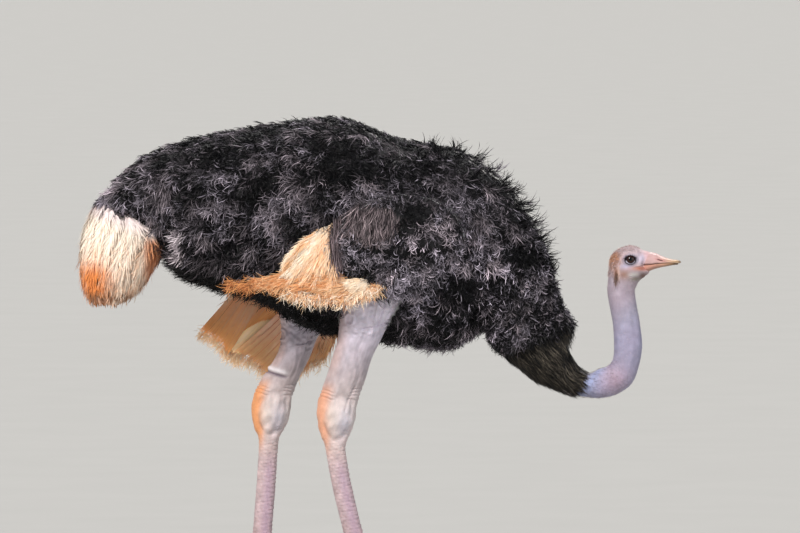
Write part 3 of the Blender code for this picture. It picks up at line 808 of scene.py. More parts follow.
def leg_place(name, p):
    """Where points are in a leg's section: -1 rear to 1 front, -1 inner to 1 outer, and the angle."""
    rows = [(*row, (row[1] + row[3]) / 2) for row in LEG_ROWS[name][::-1]]
    rear, front, y, half = read_rows(rows, 6, p[:, 2], 0, 2, 4, 5)
    along = (p[:, 0] - (rear + front) / 2) / ((front - rear) / 2)
    across = (np.abs(p[:, 1]) - y) / half
    return along, across, np.arctan2(across, along)


def far_fold(p):
    """Height above the deep fold at the back of the left thigh."""
    return p[:, 2] - 0.595 + 0.29 * (p[:, 0] + 0.276)


def thigh_relief(name, p, along, across):
    """Veins and folds of loose skin at the top of a thigh, and the deep fold low on the left one."""
    rear, level, front = LEG_ROWS[name][1][:3]
    x, z = p[:, 0] - (rear + front) / 2, p[:, 2] - level
    top = ease(-0.105, -0.085, z) * ease(0.030, 0.010, z) * ease(0.0, 0.4, np.abs(across))
    low_end = ease(-0.08, -0.06, z)
    rise = 0.00528 * bell(np.hypot(x + 0.062, (z + 0.046) / 1.3), 0.012, 0.0030)
    rise -= 0.00528 * bell(x - 0.024 - 0.35 * (z + 0.04), 0, 0.0030) * low_end
    rise -= 0.0044 * bell(x - 0.044 - 0.50 * (z + 0.04), 0, 0.0026) * low_end
    rise += 0.0044 * bell(x - 0.008 - 0.20 * (z + 0.04), 0, 0.0030)
    rise -= 0.0044 * bell(z + 0.068 - 0.22 * x, 0, 0.0026) * ease(-0.06, -0.02, x)
    rise = top * (rise + 0.0012 * waves(p, 0.020, 53))
    on_shin = ease(0.56, 0.60, p[:, 2]) * ease(0.76, 0.72, p[:, 2])
    vein = along - 0.15 - 0.25 * np.sin(p[:, 2] * 34)
    rise += 0.0014 * (bell(vein, 0, 0.07) - bell(vein, 0.22, 0.08)) * on_shin
    if name == "left":
        rise -= 0.0050 * bell(far_fold(p), 0, 0.0042) * ease(0.5, 0.0, along)
        rise += 0.0025 * bell(far_fold(p), 0.011, 0.005) * ease(0.5, 0.0, along)
    return rise


def scute_groove(place, spacing):
    """1 in the narrow grooves between scutes, and 0 on them."""
    return 1 - np.abs(np.sin(math.pi * place / spacing)) ** 0.35


def leg_relief(name, p, normal):
    """Scutes, wrinkles, tendon and knuckles of one leg and foot."""
    z = p[:, 2]
    along, across, around = leg_place(name, p)
    turned = np.abs(around)
    shank = ease(0.085, 0.115, z) * ease(0.44, 0.40, z)
    front = ease(1.15, 0.75, turned)
    groove = scute_groove(z, SHANK_SCUTES)
    rise = shank * front * (0.0012 - 0.0022 * groove)
    tendon = ease(0.40, 0.46, z) * ease(0.74, 0.64, z)
    rise += tendon * (0.0030 * bell(turned, math.pi, 0.36) - 0.0030 * bell(turned, 2.38, 0.20))
    knuckle = np.hypot((along - 0.05) / 0.55, (z - 0.487) / 0.034)
    rise += 0.0060 * np.exp(-(knuckle**2)) * ease(0.4, 0.8, np.abs(across))
    rise -= 0.0040 * bell(knuckle, 1.75, 0.32) * ease(0.4, 0.8, np.abs(across))
    crease = along - 0.50 - 2.6 * (z - 0.54)
    rise -= 0.0030 * bell(crease, 0, 0.09) * ease(0.50, 0.515, z) * ease(0.590, 0.570, z) * (across > 0)
    for level in BACK_CREASES:
        lift = level + 0.004 * np.sin(along * 5)
        rise -= 0.0024 * bell(z, lift, 0.0020) * ease(1.7, 2.2, turned)
    for level in FRONT_CREASES:
        lift = level + 0.003 * np.sin(across * 4 + level * 90)
        rise -= 0.0019 * bell(z, lift, 0.0021) * ease(1.3, 0.9, turned)
    rise += 0.0012 * waves(p, 0.022, 51) * ease(0.40, 0.44, z) * ease(0.60, 0.52, z)
    rise += thigh_relief(name, p, along, across)
    rise += 0.0005 * waves(p, 0.012, 52) * ease(0.45, 0.40, z)
    on_toe = ease(0.085, 0.060, z) * ease(0.2, 0.6, normal[:, 2])
    ahead = np.hypot(p[:, 0] - FOOT_JOINT_X[name], np.abs(p[:, 1]) - FOOT_Y)
    return rise - 0.0016 * on_toe * scute_groove(ahead, TOE_SCUTES)


def build_leg_skin(name, side, material):
    """One leg and foot, fused from its tubes into one even mesh, then given its relief."""
    rings = [leg_rings(name, side)] + [toe_rings(name, side, toe) for toe in TOES]
    tubes = [closed_tube(each) for each in rings]
    starts = np.cumsum([0] + [len(vertices) for vertices, _ in tubes])
    vertices = np.concatenate([vertices for vertices, _ in tubes])
    triangles = np.concatenate([triangles + start for (_, triangles), start in zip(tubes, starts)])
    leg = mesh_object("leg_" + name, vertices, triangles, material)
    remesh = leg.modifiers.new("fused", "REMESH")
    remesh.mode, remesh.voxel_size = "VOXEL", LEG_VOXEL
    smooth = leg.modifiers.new("eased", "SMOOTH")
    smooth.factor, smooth.iterations = 0.5, 3
    triangulate = leg.modifiers.new("triangles", "TRIANGULATE")
    triangulate.quad_method = "SHORTEST_DIAGONAL"
    applied(leg)
    points = raise_relief(leg.data, lambda p, normal: leg_relief(name, p, normal))
    paint(leg.data, leg_marking(name, points))
    return leg


# ------------------------------------------------------------------ wing pads

PAD_COAT, PAD_SIDES = 0.020, 120
# A pad's rings, from its inner face to its outer one: share of the way to the rim, and how far sunk.
PAD_RINGS = ((0.30, 0.090), (0.62, 0.090), (0.93, 0.070), (0.93, PAD_COAT + 0.004))
PAD_RINGS += tuple((share, PAD_COAT) for share in (0.80, 0.60, 0.40, 0.20))
COVERTS = np.array(COVERTS_OUTLINE)
COVERTS_MIDDLE = curve(COVERTS, np.arange(0, len(COVERTS), 0.5), closed=True).mean(axis=0)


def flank(x, z, tuck):
    """Half the trunk's width at (x, z) in the side view, where wing pieces lie on it."""
    top, bottom, half = read_rows(between_rows(SPINE[: SHOULDER + 1], 4), 0, x, 1, 3, 4)
    down = (top - z) / (top - bottom)
    waist, power = WAIST_ALONG[1][0], POWER_ALONG[1][0]
    off = np.where(down < waist, (waist - down) / waist, tuck * (down - waist) / (1 - waist))
    return half * (1 - np.clip(off, 0, FLANK_LIMIT) ** power) ** (1 / power)


def coverts_point(side, share, turn, sunk=0.0):
    """Points of a wing's outer face: share 0 is its middle and 1 its rim, turn 0 to 1 is once round."""
    edge = curve(COVERTS, turn * len(COVERTS), closed=True)
    flat = COVERTS_MIDDLE + share[:, None] * (edge - COVERTS_MIDDLE)
    height = COVERTS_RIM + (COVERTS_THICK - COVERTS_RIM) * np.sqrt(np.maximum(1 - share**2, 0)) - sunk
    x, z = flat[:, 0], flat[:, 1] - drop_of(side)
    return xyz(x, side * (flank(x, z, COVERTS_TUCK) + height), z)


def drop_of(side):
    """How far a wing hangs below its outline: the left one droops."""
    return LEFT_COVERTS_DROP if side > 0 else 0.0


def build_wing_skin(name, side, material):
    """The flesh of a folded wing, sunk under its coat, with its inner face in the trunk."""
    turn = np.arange(PAD_SIDES) / PAD_SIDES
    rings = [coverts_point(side, np.full(PAD_SIDES, share), turn, sunk) for share, sunk in PAD_RINGS]
    vertices, triangles = closed_tube(rings)
    black = np.tile(BLACK_SKIN, (len(vertices), 1))
    return mesh_object("wing_" + name, vertices, triangles, material, black)


def build_skin(material):
    """Trunk, neck, head, legs, feet and wings under one skin."""
    skin = build_body_skin(material)
    limbs = [build(*side, material) for side in SIDES for build in (build_leg_skin, build_wing_skin)]
    for limb in limbs:
        join = skin.modifiers.new("with_" + limb.name, "BOOLEAN")
        join.operation, join.solver, join.object = "UNION", "MANIFOLD", limb
    applied(skin)
    for limb in limbs:
        bpy.data.objects.remove(limb)
    return skin


# ------------------------------------------------------------------ materials

def new_material(name, roughness, **sockets):
    """A Principled material with constant sockets; returns it, its tree and its shader."""
    material = bpy.data.materials.new(name)
    material.use_nodes = True
    shader = material.node_tree.nodes["Principled BSDF"]
    shader.inputs["Roughness"].default_value = roughness
    for socket, value in sockets.items():
        shader.inputs[socket.replace("_", " ")].default_value = value
    return material, material.node_tree, shader


def add(tree, kind, **values):
    """A node with its properties and the defaults of its named inputs set."""
    node = tree.nodes.new(kind)
    for key, value in values.items():
        socket = node.inputs.get(key.replace("_", " "))
        if socket is None:
            setattr(node, key, value)
        else:
            socket.default_value = value
    return node


def noise(tree, scale, detail, stretch=None):
    """Noise over the piece's own coordinates, in features per metre, stretched where asked."""
    place = add(tree, "ShaderNodeTexCoord").outputs["Object"]
    if stretch is not None:
        mapping = add(tree, "ShaderNodeMapping", Scale=stretch)
        tree.links.new(place, mapping.inputs["Vector"])
        place = mapping.outputs["Vector"]
    node = add(tree, "ShaderNodeTexNoise", Scale=scale, Detail=detail)
    tree.links.new(place, node.inputs["Vector"])
    return node.outputs["Fac"]


def ranged(tree, value, low, high):
    """A value from 0 to 1 spread from low to high."""
    node = add(tree, "ShaderNodeMapRange", To_Min=low, To_Max=high)
    tree.links.new(value, node.inputs["Value"])
    return node.outputs["Result"]


def times(tree, colour, factor):
    node = add(tree, "ShaderNodeVectorMath", operation="SCALE")
    tree.links.new(colour, node.inputs[0])
    tree.links.new(factor, node.inputs["Scale"])
    return node.outputs["Vector"]


def marked(tree):
    return add(tree, "ShaderNodeAttribute", attribute_name="marking").outputs["Color"]


def bumped(tree, shader, heights):
    """Bumps in turn: each is (height from 0 to 1, depth in metres)."""
    normal = None
    for height, depth in heights:
        node = add(tree, "ShaderNodeBump", Distance=depth, Strength=1.0)
        tree.links.new(height, node.inputs["Height"])
        if normal is not None:
            tree.links.new(normal, node.inputs["Normal"])
        normal = node.outputs["Normal"]
    tree.links.new(normal, shader.inputs["Normal"])


def skin_material():
    material, tree, shader = new_material(
        "bare_skin", 0.58, Subsurface_Weight=0.06, Subsurface_Scale=0.006, Specular_IOR_Level=0.35,
        Subsurface_Radius=(1.0, 0.4, 0.3),
    )
    colour = times(tree, marked(tree), ranged(tree, noise(tree, 55, 4), 0.64, 1.00))
    colour = times(tree, colour, ranged(tree, noise(tree, 420, 2), 0.86, 1.14))
    tree.links.new(colour, shader.inputs["Base Color"])
    cells = add(tree, "ShaderNodeTexVoronoi", feature="DISTANCE_TO_EDGE", Scale=620.0)
    tree.links.new(add(tree, "ShaderNodeTexCoord").outputs["Object"], cells.inputs["Vector"])
    leather = ranged(tree, cells.outputs["Distance"], 0.0, 2.2)
    bumped(tree, shader, ((leather, 0.00022), (noise(tree, 260, 3), 0.0005), (noise(tree, 60, 3), 0.0012)))
    return material


STREAKS = (160, 4, (0.15, 1.0, 1.0))
# Materials that shade a piece's marking with noise: roughness, what noise() takes, darkest and lightest
# shade, bumps (what noise() takes, depth in metres), and other sockets of the shader.
MARKED_MATERIALS = {
    "horn_of_bill": (0.42, (90, 4, (0.25, 1.0, 1.6)), (0.46, 0.66),
                     (((400, 3, (0.2, 1.0, 1.4)), 0.0003), ((120, 2), 0.0004)),
                     dict(Specular_IOR_Level=0.45, Coat_Weight=0.10)),
    "horn_of_claws": (0.38, STREAKS, (0.58, 1.08), ((STREAKS, 0.0006),), {}),
    "wet_eye": (0.10, (900, 3), (0.75, 1.25), (),
                dict(Specular_IOR_Level=0.25, Coat_Weight=0.15, Coat_Roughness=0.02)),
    "black_feathers": (0.48, (140, 3), (0.6, 1.4), (),
                       dict(Specular_IOR_Level=0.17, Sheen_Weight=0.05, Sheen_Roughness=0.35,
                            Sheen_Tint=(0.92, 0.86, 1.0, 1.0))),
    "pale_plumes": (0.62, (90, 3), (0.86, 1.14), (),
                    dict(Specular_IOR_Level=0.30, Sheen_Weight=0.30, Sheen_Roughness=0.45)),
    "bristles": (0.45, (300, 2), (0.8, 1.2), (), dict(Specular_IOR_Level=0.4)),
}


def marked_material(name):
    """A material that shows its piece's marking, as MARKED_MATERIALS says."""
    roughness, pattern, shades, bumps, sockets = MARKED_MATERIALS[name]
    material, tree, shader = new_material(name, roughness, **sockets)
    shade = ranged(tree, noise(tree, *pattern), *shades)
    tree.links.new(times(tree, marked(tree), shade), shader.inputs["Base Color"])
    if bumps:
        bumped(tree, shader, [(noise(tree, *bump), depth) for bump, depth in bumps])
    return material


def floor_material():
    material, tree, shader = new_material("pale_floor", 1.0, Specular_IOR_Level=0.0)
    grain = ranged(tree, noise(tree, 3.0, 2), 0.97, 1.03)
    pale = add(tree, "ShaderNodeRGB").outputs["Color"]
    pale.default_value = FLOOR_COLOUR
    tree.links.new(times(tree, pale, grain), shader.inputs["Base Color"])
    return material


# ------------------------------------------------------------------ bill, eyes and claws

NOSTRIL, NOSTRIL_REACH, NOSTRIL_TILT = (0.7850, 0.9246), (0.0088, 0.0016), math.radians(-15)
BILL_STEP, BILL_SIDES, BILL_POWER = 0.0008, 112, 2.3
# Each half: its rows, where it is widest as a share of its height from the top, and how far it reaches up
# past its top row, into the other half.
BILL_SHAPES = {"upper": (BILL_UPPER_ROWS, 0.80, 0.0), "lower": (BILL_LOWER_ROWS, 0.22, 0.0030)}
BILL_COLOURS = {
    "upper": (
        (0.745, (238, 192, 190)), (0.766, (244, 200, 198)), (0.786, (244, 196, 188)),
        (0.806, (238, 190, 166)), (0.826, (222, 180, 136)), (0.836, (186, 148, 104)), (0.843, (120, 92, 62)),
    ),
    "lower": (
        (0.745, (232, 168, 148)), (0.772, (232, 172, 150)), (0.800, (228, 174, 144)),
        (0.818, (200, 156, 116)), (0.828, (140, 108, 76)), (0.836, (96, 74, 50)),
    ),
}


def bill_rings(half):
    rows, waist, tucked = BILL_SHAPES[half]
    places = np.array(rows)[:, 0]
    x = np.linspace(places[0], places[-1], int((places[-1] - places[0]) / BILL_STEP))
    along, across = section(turns_of(BILL_SIDES), BILL_POWER)
    rings = []
    for x, top, bottom, wide in curve(rows, np.interp(x, places, np.arange(len(rows)))):
        middle = top + tucked + waist * (bottom - top - tucked)
        reach = np.where(along > 0, top + tucked - middle, middle - bottom)
        rings.append(xyz(x, wide * across, middle + reach * along))
    return np.stack(rings)


def nostril(p):
    """Distance from the middle of a nostril: its edge is at 1."""
    u, v = p[:, 0] - NOSTRIL[0], p[:, 2] - NOSTRIL[1]
    lengthwise = u * math.cos(NOSTRIL_TILT) + v * math.sin(NOSTRIL_TILT)
    upright = v * math.cos(NOSTRIL_TILT) - u * math.sin(NOSTRIL_TILT)
    return np.hypot(lengthwise / NOSTRIL_REACH[0], upright / NOSTRIL_REACH[1])


def upper_bill_relief(p):
    """Culmen, nostrils, the edge that overhangs the lower bill, and the nail at the tip."""
    x, y, z = p[:, 0], np.abs(p[:, 1]), p[:, 2]
    on_top = ease(0.916, 0.922, z)
    rise = 0.0007 * bell(y, 0, 0.0032) * on_top * ease(0.754, 0.762, x) * ease(0.832, 0.815, x)
    rise -= 0.0012 * bell(y, 0.0078, 0.0030) * on_top * ease(0.756, 0.764, x) * ease(0.806, 0.790, x)
    out = nostril(p)
    rise -= 0.0034 * ease(1.05, 0.55, out) * (y > 0.004)
    rise += 0.0005 * bell(out, 1.45, 0.30) * (y > 0.004)
    rise += 0.0006 * ease(0.8245, 0.8285, x) * ease(0.842, 0.836, x) - 0.0005 * bell(x, 0.8235, 0.0011)
    return rise + 0.00010 * np.sin(x * 2 * math.pi / 0.0031 + 3 * np.sin(z * 700))


def lower_bill_relief(p):
    """A groove between the two branches of the lower bill, and its nail."""
    x, y, z = p[:, 0], np.abs(p[:, 1]), p[:, 2]
    (bottom,) = read_rows(BILL_LOWER_ROWS, 0, x, 2)
    below = ease(0.003, 0.001, z - bottom)
    rise = -0.0016 * bell(y, 0, 0.0045) * below * ease(0.818, 0.800, x)
    rise += 0.0004 * bell(y, 0.0085, 0.0025) * below * ease(0.815, 0.800, x)
    return rise - 0.0004 * bell(x, 0.8205, 0.0011)


def bill_marking(half, p):
    """Colour of one half of the bill, with its rim, its ridge and the nostrils."""
    x, y, z = p.T
    (bottom,) = read_rows(BILL_SHAPES[half][0], 0, x, 2)
    colour = colour_stops(BILL_COLOURS[half], x) * (1 + 0.05 * waves(p, 0.02, 61)[:, None])
    if half == "lower":
        # The lower bill is painted brown along its underside: painted shade under the bill.
        return mixed(colour, srgb(152, 98, 68), 0.65 * bell(z, bottom, 0.0022))
    colour = mixed(colour, srgb(250, 222, 196), 0.6 * bell(z, bottom, 0.0030))
    ridge = bell(y, 0, 0.006) * ease(0.918, 0.926, z) * ease(0.82, 0.79, x)
    colour = mixed(colour, srgb(226, 158, 152), 0.5 * ridge)
    out, aside = nostril(p), np.abs(y) > 0.004
    colour = mixed(colour, srgb(224, 150, 148), 0.6 * bell(out, 1.3, 0.8) * aside)
    # The nostril's opening is painted dark: painted shade in the hole.
    return mixed(colour, srgb(70, 38, 40), ease(1.15, 0.75, out) * aside)


BILL_RELIEFS = {"upper": upper_bill_relief, "lower": lower_bill_relief}


def build_bill(half, material):
    piece = mesh_object("bill_" + half + "_horn", *closed_tube(bill_rings(half)), material)
    points = raise_relief(piece.data, lambda p, normal: BILL_RELIEFS[half](p))
    paint(piece.data, bill_marking(half, points))
    return piece


# An eye's rings by angle from its axis, in degrees, with their colours.
PUPIL_EDGE, IRIS_EDGE, LIMBUS_EDGE = 16.0, 31.0, 36.0
EYE_COLOURS = (
    (PUPIL_EDGE, (4, 3, 4)), (PUPIL_EDGE + 0.2, (38, 18, 14)), (24, (54, 25, 20)),
    (IRIS_EDGE, (26, 14, 12)), (IRIS_EDGE + 0.2, (16, 12, 14)), (LIMBUS_EDGE, (34, 27, 32)),
)
EYE_RING_SPAN, EYE_SIDES = 2.2, 72


def build_eye(name, side, material):
    """An eyeball of rings about its axis, so that the pupil and iris have clean edges."""
    edges = (0.0, PUPIL_EDGE, IRIS_EDGE, LIMBUS_EDGE, 180.0)
    angles = [1.0]
    for start, end in zip(edges, edges[1:]):
        count = max(int((end - start) / EYE_RING_SPAN), 1)
        angles += [start + (end - start) * (k + 0.08) / count for k in range(count)]
        angles += [end - 0.25]
    angles = np.radians([a for a in sorted(set(angles)) if 0.9 < a < 179.0])
    axis = unit(np.array([0.05, side, 0.12]))
    upward = unit(np.array([0, 0, 1.0]) - axis * axis[2])
    sideways = np.cross(axis, upward)
    turn = turns_of(EYE_SIDES)
    round_axis = np.cos(turn)[:, None] * upward + np.sin(turn)[:, None] * sideways
    radius = EYE_RADIUS - 0.0006 + 0.0010 * ease(math.radians(LIMBUS_EDGE), math.radians(8), angles)
    rings = radius[:, None, None] * (
        np.cos(angles)[:, None, None] * axis + np.sin(angles)[:, None, None] * round_axis[None]
    ) + np.array([EYE[0], side * EYE_Y, EYE[1]])
    vertices, triangles = closed_tube(rings)
    degrees = np.append(np.repeat(np.degrees(angles), EYE_SIDES), [0, 180])
    around = np.append(np.tile(np.cos(turn), len(angles)), [1, 1])
    pale = ease(LIMBUS_EDGE - 1.5, LIMBUS_EDGE + 1.5, degrees) * ease(-0.15, -0.60, around)
    colour = mixed(colour_stops(EYE_COLOURS, degrees), srgb(205, 196, 214), pale)
    return mesh_object("eyeball_" + name, vertices, triangles, material, colour)


CLAW_STEPS, CLAW_SIDES = 10, 28


def build_claw(name, side, toe, material):
    """A claw, darker towards its tip."""
    rows = between_rows(CLAW_ROWS[toe], CLAW_STEPS)
    rings = np.stack([
        loft_ring((along, 0, height + tall), (along, 0, height - tall), half, CLAW_SIDES, 2.0)
        for along, height, tall, half in rows
    ])
    length = np.append(np.repeat(np.linspace(0, 1, len(rows)), CLAW_SIDES), [0, 1])
    vertices, triangles = closed_tube(foot_place(name, side, toe, rings))
    colour = mixed(np.tile(srgb(120, 92, 82), (len(length), 1)), srgb(58, 42, 38), ease(0.1, 0.9, length))
    return mesh_object("claw_horn_" + toe + "_" + name, vertices, triangles, material, colour)


# ------------------------------------------------------------------ strips and tufts

# How wide a tuft's own patch is on the OFBake map, and the share of it that the tuft's strips fill.
PATCH, PATCH_FILLED = 0.003, 0.96


class Tufts:
    """Strips gathered for one coat piece: their points, triangles, colours and places on the map."""

    def __init__(self):
        self.points, self.triangles, self.colours, self.uv, self.count = [], [], [], [], 0

    def add(self, paths, across, widths, colours, root_uv):
        """Flat strips along paths (strips, places, 3) that end in a point; colours are for each place."""
        strips, places, _ = paths.shape
        half = across * (widths / 2)[..., None]
        left, right = (paths + half)[:, :-1], (paths - half)[:, :-1]
        body = np.stack([left, right], 2).reshape(strips, -1, 3)
        points = np.concatenate([body, paths[:, -1:]], 1)
        each = 2 * places - 1
        k = 2 * np.arange(places - 2)
        pattern = np.concatenate([
            np.stack([k, k + 1, k + 3], 1), np.stack([k, k + 3, k + 2], 1), [[each - 3, each - 2, each - 1]]
        ])
        first = self.count + each * np.arange(strips)
        self.triangles.append((first[:, None, None] + pattern).reshape(-1, 3))
        paired = np.repeat(colours[:, :-1], 2, axis=1)
        self.colours.append(np.concatenate([paired, colours[:, -1:]], 1).reshape(-1, 3))
        self.points.append(points.reshape(-1, 3))
        sideways = np.append(np.tile([-0.5, 0.5], places - 1), 0.0)
        lengthwise = np.append(np.repeat(np.linspace(-0.5, 0.5, places)[:-1], 2), 0.5)
        patch = PATCH * PATCH_FILLED * np.stack([sideways, lengthwise], 1)
        self.uv.append((root_uv[:, None] + patch).reshape(-1, 2))
        self.count += strips * each

    def piece(self, name, material):
        lists = (self.points, self.triangles, self.colours, self.uv)
        points, triangles, colours, uv = (np.concatenate(parts) for parts in lists)
        return mesh_object(name, points, triangles, material, colours, uv)


def on_map(u, v):
    """Roots' places spread over the map, with room for a patch at its edges."""
    spread = [(k - k.min()) / max(np.ptp(k), 1e-6) for k in (u, v)]
    return PATCH + (1 - 2 * PATCH) * np.stack(spread, 1)


class Roots:
    """Where tufts grow: place, outward normal, way the coat lies, place on the map, tone and shade."""

    def __init__(self, p, normal, lie, uv, tone=None, shade=None):
        self.p, self.normal, self.uv = p, normal, uv
        self.lie = unit(lie - normal * (lie * normal).sum(1, keepdims=True))
        self.tone = np.full(len(p), 0.5) if tone is None else tone
        self.shade = np.ones(len(p)) if shade is None else shade

    def those(self, keep):
        kept = (self.p, self.normal, self.lie, self.uv, self.tone, self.shade)
        return Roots(*(value[keep] for value in kept))


def strip_paths(p, heading, normal, length, steps, sway, droop, wave, turns, phase, fall):
    """Paths that start at p and bend as they grow: aside, down to the body, in waves and by weight."""
    step = (length / steps)[:, None]
    paths, headings = [p], [heading]
    for k in range(steps):
        p = p + heading * step
        paths.append(p)
        side = unit(np.cross(normal, heading))
        swing = (sway + wave * np.cos(2 * math.pi * turns * (k + 1) / steps + phase)) / steps
        heading = heading + side * swing[:, None] - normal * (droop / steps)[:, None]
        heading = unit(heading - np.array([0, 0, 1.0]) * (fall / steps))
        headings.append(heading)
    return np.stack(paths, 1), np.stack(headings, 1)


def widths_along(width, places, root=0.55, fullest=0.35):
    """Widths along strips: `root` of the full width at first, all of it at `fullest`, nothing at the tip."""
    share = np.linspace(0, 1, places)
    opening, closing = root + (1 - root) * share / fullest, np.sqrt((1 - share) / (1 - fullest))
    return width[:, None] * np.where(share < fullest, opening, closing)


def rolled(normal, headings, turned):
    """The way a strip's width runs: flat on the body, turned about the strip by an angle."""
    flat_side = unit(np.cross(normal[:, None], headings))
    turned = turned[:, None, None]
    return flat_side * np.cos(turned) + np.cross(headings, flat_side) * np.sin(turned)


def grow(
    tufts, roots, rng, tone, each=8, spread=0.006, length=0.045, width=0.0022, lift=0.45, fan=0.45, curl=0.9,
    droop=0.9, wave=0.4, turns=1.0, steps=4, fall=0.0, roll=0.6, root_shade=0.25,
):
    """Grows `each` strips from every root; length, curl and lift may differ from root to root."""
    owner = np.repeat(np.arange(len(roots.p)), each)
    count = len(owner)
    if not count:
        return
    length, curl, lift = (value[owner] if np.ndim(value) else value for value in (length, curl, lift))
    normal, lie = roots.normal[owner], roots.lie[owner]
    side = np.cross(normal, lie)
    vary = rng.normal(size=(8, count))
    own = rng.normal(size=(3, len(roots.p)))[:, owner]
    p = roots.p[owner] + spread * (lie * vary[0][:, None] + side * vary[1][:, None])
    angle = fan * (0.5 * own[0] + 0.85 * vary[2])
    flat = lie * np.cos(angle)[:, None] + side * np.sin(angle)[:, None]
    lifted = np.clip(lift * (1 + 0.30 * vary[3]), 0.02, 1.5)
    heading = flat * np.cos(lifted)[:, None] + normal * np.sin(lifted)[:, None]
    length = length * np.clip(1 + 0.22 * vary[4] + 0.12 * own[1], 0.35, 1.8) * np.ones(count)
    sway = curl * (0.75 * own[2] + 0.6 * vary[5])
    drop = droop * np.clip(1 + 0.3 * vary[6], 0.1, 2.0)
    phase = rng.uniform(0, 2 * math.pi, count)
    paths, headings = strip_paths(p, heading, normal, length, steps, sway, drop, wave, turns, phase, fall)
    widths = widths_along(width * np.clip(1 + 0.2 * vary[3], 0.5, 1.6), steps + 1)
    share = np.linspace(0, 1, steps + 1)
    # Strips are painted darker towards the root, to `root_shade` of their colour there: painted shade deep in
    # the coat. The roots' own shade multiplies in too.
    shade = roots.shade[owner][:, None] * (root_shade + (1 - root_shade) * np.minimum(share * 1.8, 1))
    colours = tone(roots, owner, paths, rng)[:, None] * shade[..., None]
    tufts.add(paths, rolled(normal, headings, roll * vary[7]), widths, colours, roots.uv[owner])


# ------------------------------------------------------------------ the black coat

# The grey strips are partly the black feathers' own mauve and brown grey and partly painted sheen, the
# highlights that light draws on them; black_tone's `bright` makes them lighter still where it is raised.
JET, MAUVE_GREY_AND_SHEEN, BROWN_GREY_AND_SHEEN = srgb(6, 6, 8), srgb(172, 163, 176), srgb(156, 138, 136)
# The sleek feathers' rare lighter strands are partly their own brown and partly painted sheen.
SLEEK_DARK, SLEEK_BROWN_AND_SHEEN = (6, 6, 6), (100, 92, 81)
# The black feathers' ends: how far apart they lie, and how far each stands out over the next.
TIP_SPACING, TIP_RISE = 0.040, 0.013
# Feathers whose tone, 0 to 1, is above this are longer and smoother than the rest.
SMOOTH_FEATHERS = 0.86
# Places round a ring of the body at which its girth is measured.
RING_PLACES = 241


def black_tone(share, warm=0.4, bright=1.0):
    """Jet strips among grey ones: `share` are grey on the whole, and more of them on some feathers."""
    def tone(roots, owner, paths, rng):
        p, own = paths[:, 0], roots.tone[owner]
        here, gleam = (value[owner] if np.ndim(value) else value for value in (share, bright))
        chance = rng.uniform(size=(2, len(owner)))
        chance[0] = 0.5 * chance[0] + 0.5 * rng.uniform(size=len(roots.p))[owner]
        grey_here = here * (0.45 + 1.1 * own) * (1 + 0.40 * waves(p, 0.17, 71))
        light = ease(-0.10, 0.20, grey_here - chance[0]) * (0.32 + 0.75 * chance[1] ** 2) * gleam
        grey = mixed(np.tile(MAUVE_GREY_AND_SHEEN, (len(owner), 1)), BROWN_GREY_AND_SHEEN, warm * ease(0.4, 1.0, own))
        return mixed(np.tile(JET, (len(owner), 1)), grey, light)
    return tone


def plain_tone(dark, light, rarity=1.5):
    """Any colour from dark to light, the light ones rarer the higher the `rarity`."""
    dark, light = srgb(*dark), srgb(*light)

    def tone(roots, owner, paths, rng):
        return mixed(np.tile(dark, (len(owner), 1)), light, rng.uniform(size=len(owner)) ** rarity)
    return tone


def feathered(roots, tips, size=TIP_SPACING, rise=TIP_RISE, open_out=0.5):
    """Gathers roots into feather ends that overlap like shingles, each highest at its end and painted
    lightest there, darker where it goes under the next: painted shade.
    """
    apart = (roots.p**2).sum(1)[:, None] + (tips.p**2).sum(1) - 2 * roots.p @ tips.p.T
    down = roots.p @ tips.lie.T - (tips.p * tips.lie).sum(1)
    nearest = np.argmin(apart - 0.45 * down**2, axis=1)
    lie = tips.lie[nearest]
    side = np.cross(tips.normal[nearest], lie)
    offset = (roots.p - tips.p[nearest]) / size
    down, aside = (offset * lie).sum(1), (offset * side).sum(1)
    end = np.clip(0.55 + 0.9 * down, 0, 1.1)
    p = roots.p + roots.normal * (rise * (end - 0.9 * aside**2))[:, None]
    lie = roots.lie + side * (open_out * aside)[:, None]
    # Painted shade: broad lumps, and darker towards the base of each feather end, under the one before.
    lumps = np.clip(1 + 0.30 * waves(roots.p, 0.13, 85), 0.35, 1.6)
    return Roots(p, roots.normal, lie, roots.uv, tips.tone[nearest], lumps * (0.08 + 1.05 * end))


def spine_roots(start, end, spacing, rng, jitter=0.38):
    """Staggered roots all round the body from start to end, on its skin."""
    places, turns = [], []
    fine = np.linspace(0, 2 * math.pi, RING_PLACES)
    rings = evenly(start, end, spacing)
    gap = np.interp(rings[1], LENGTH_T, LENGTH) - np.interp(rings[0], LENGTH_T, LENGTH)
    for ring in rings:
        outline = spine_point(np.full(RING_PLACES, ring), fine)
        length = np.concatenate([[0], np.cumsum(np.linalg.norm(np.diff(outline, axis=0), axis=1))])
        count = max(int(length[-1] / spacing), 6)
        at = (np.arange(count) + rng.uniform() + jitter * rng.uniform(-1, 1, count)) / count % 1.0
        turns.append(np.interp(at * length[-1], length, fine))
        along = np.interp(ring, LENGTH_T, LENGTH) + gap * jitter * rng.uniform(-1, 1, count)
        places.append(np.interp(along, LENGTH, LENGTH_T))
    return np.concatenate(places), np.concatenate(turns)


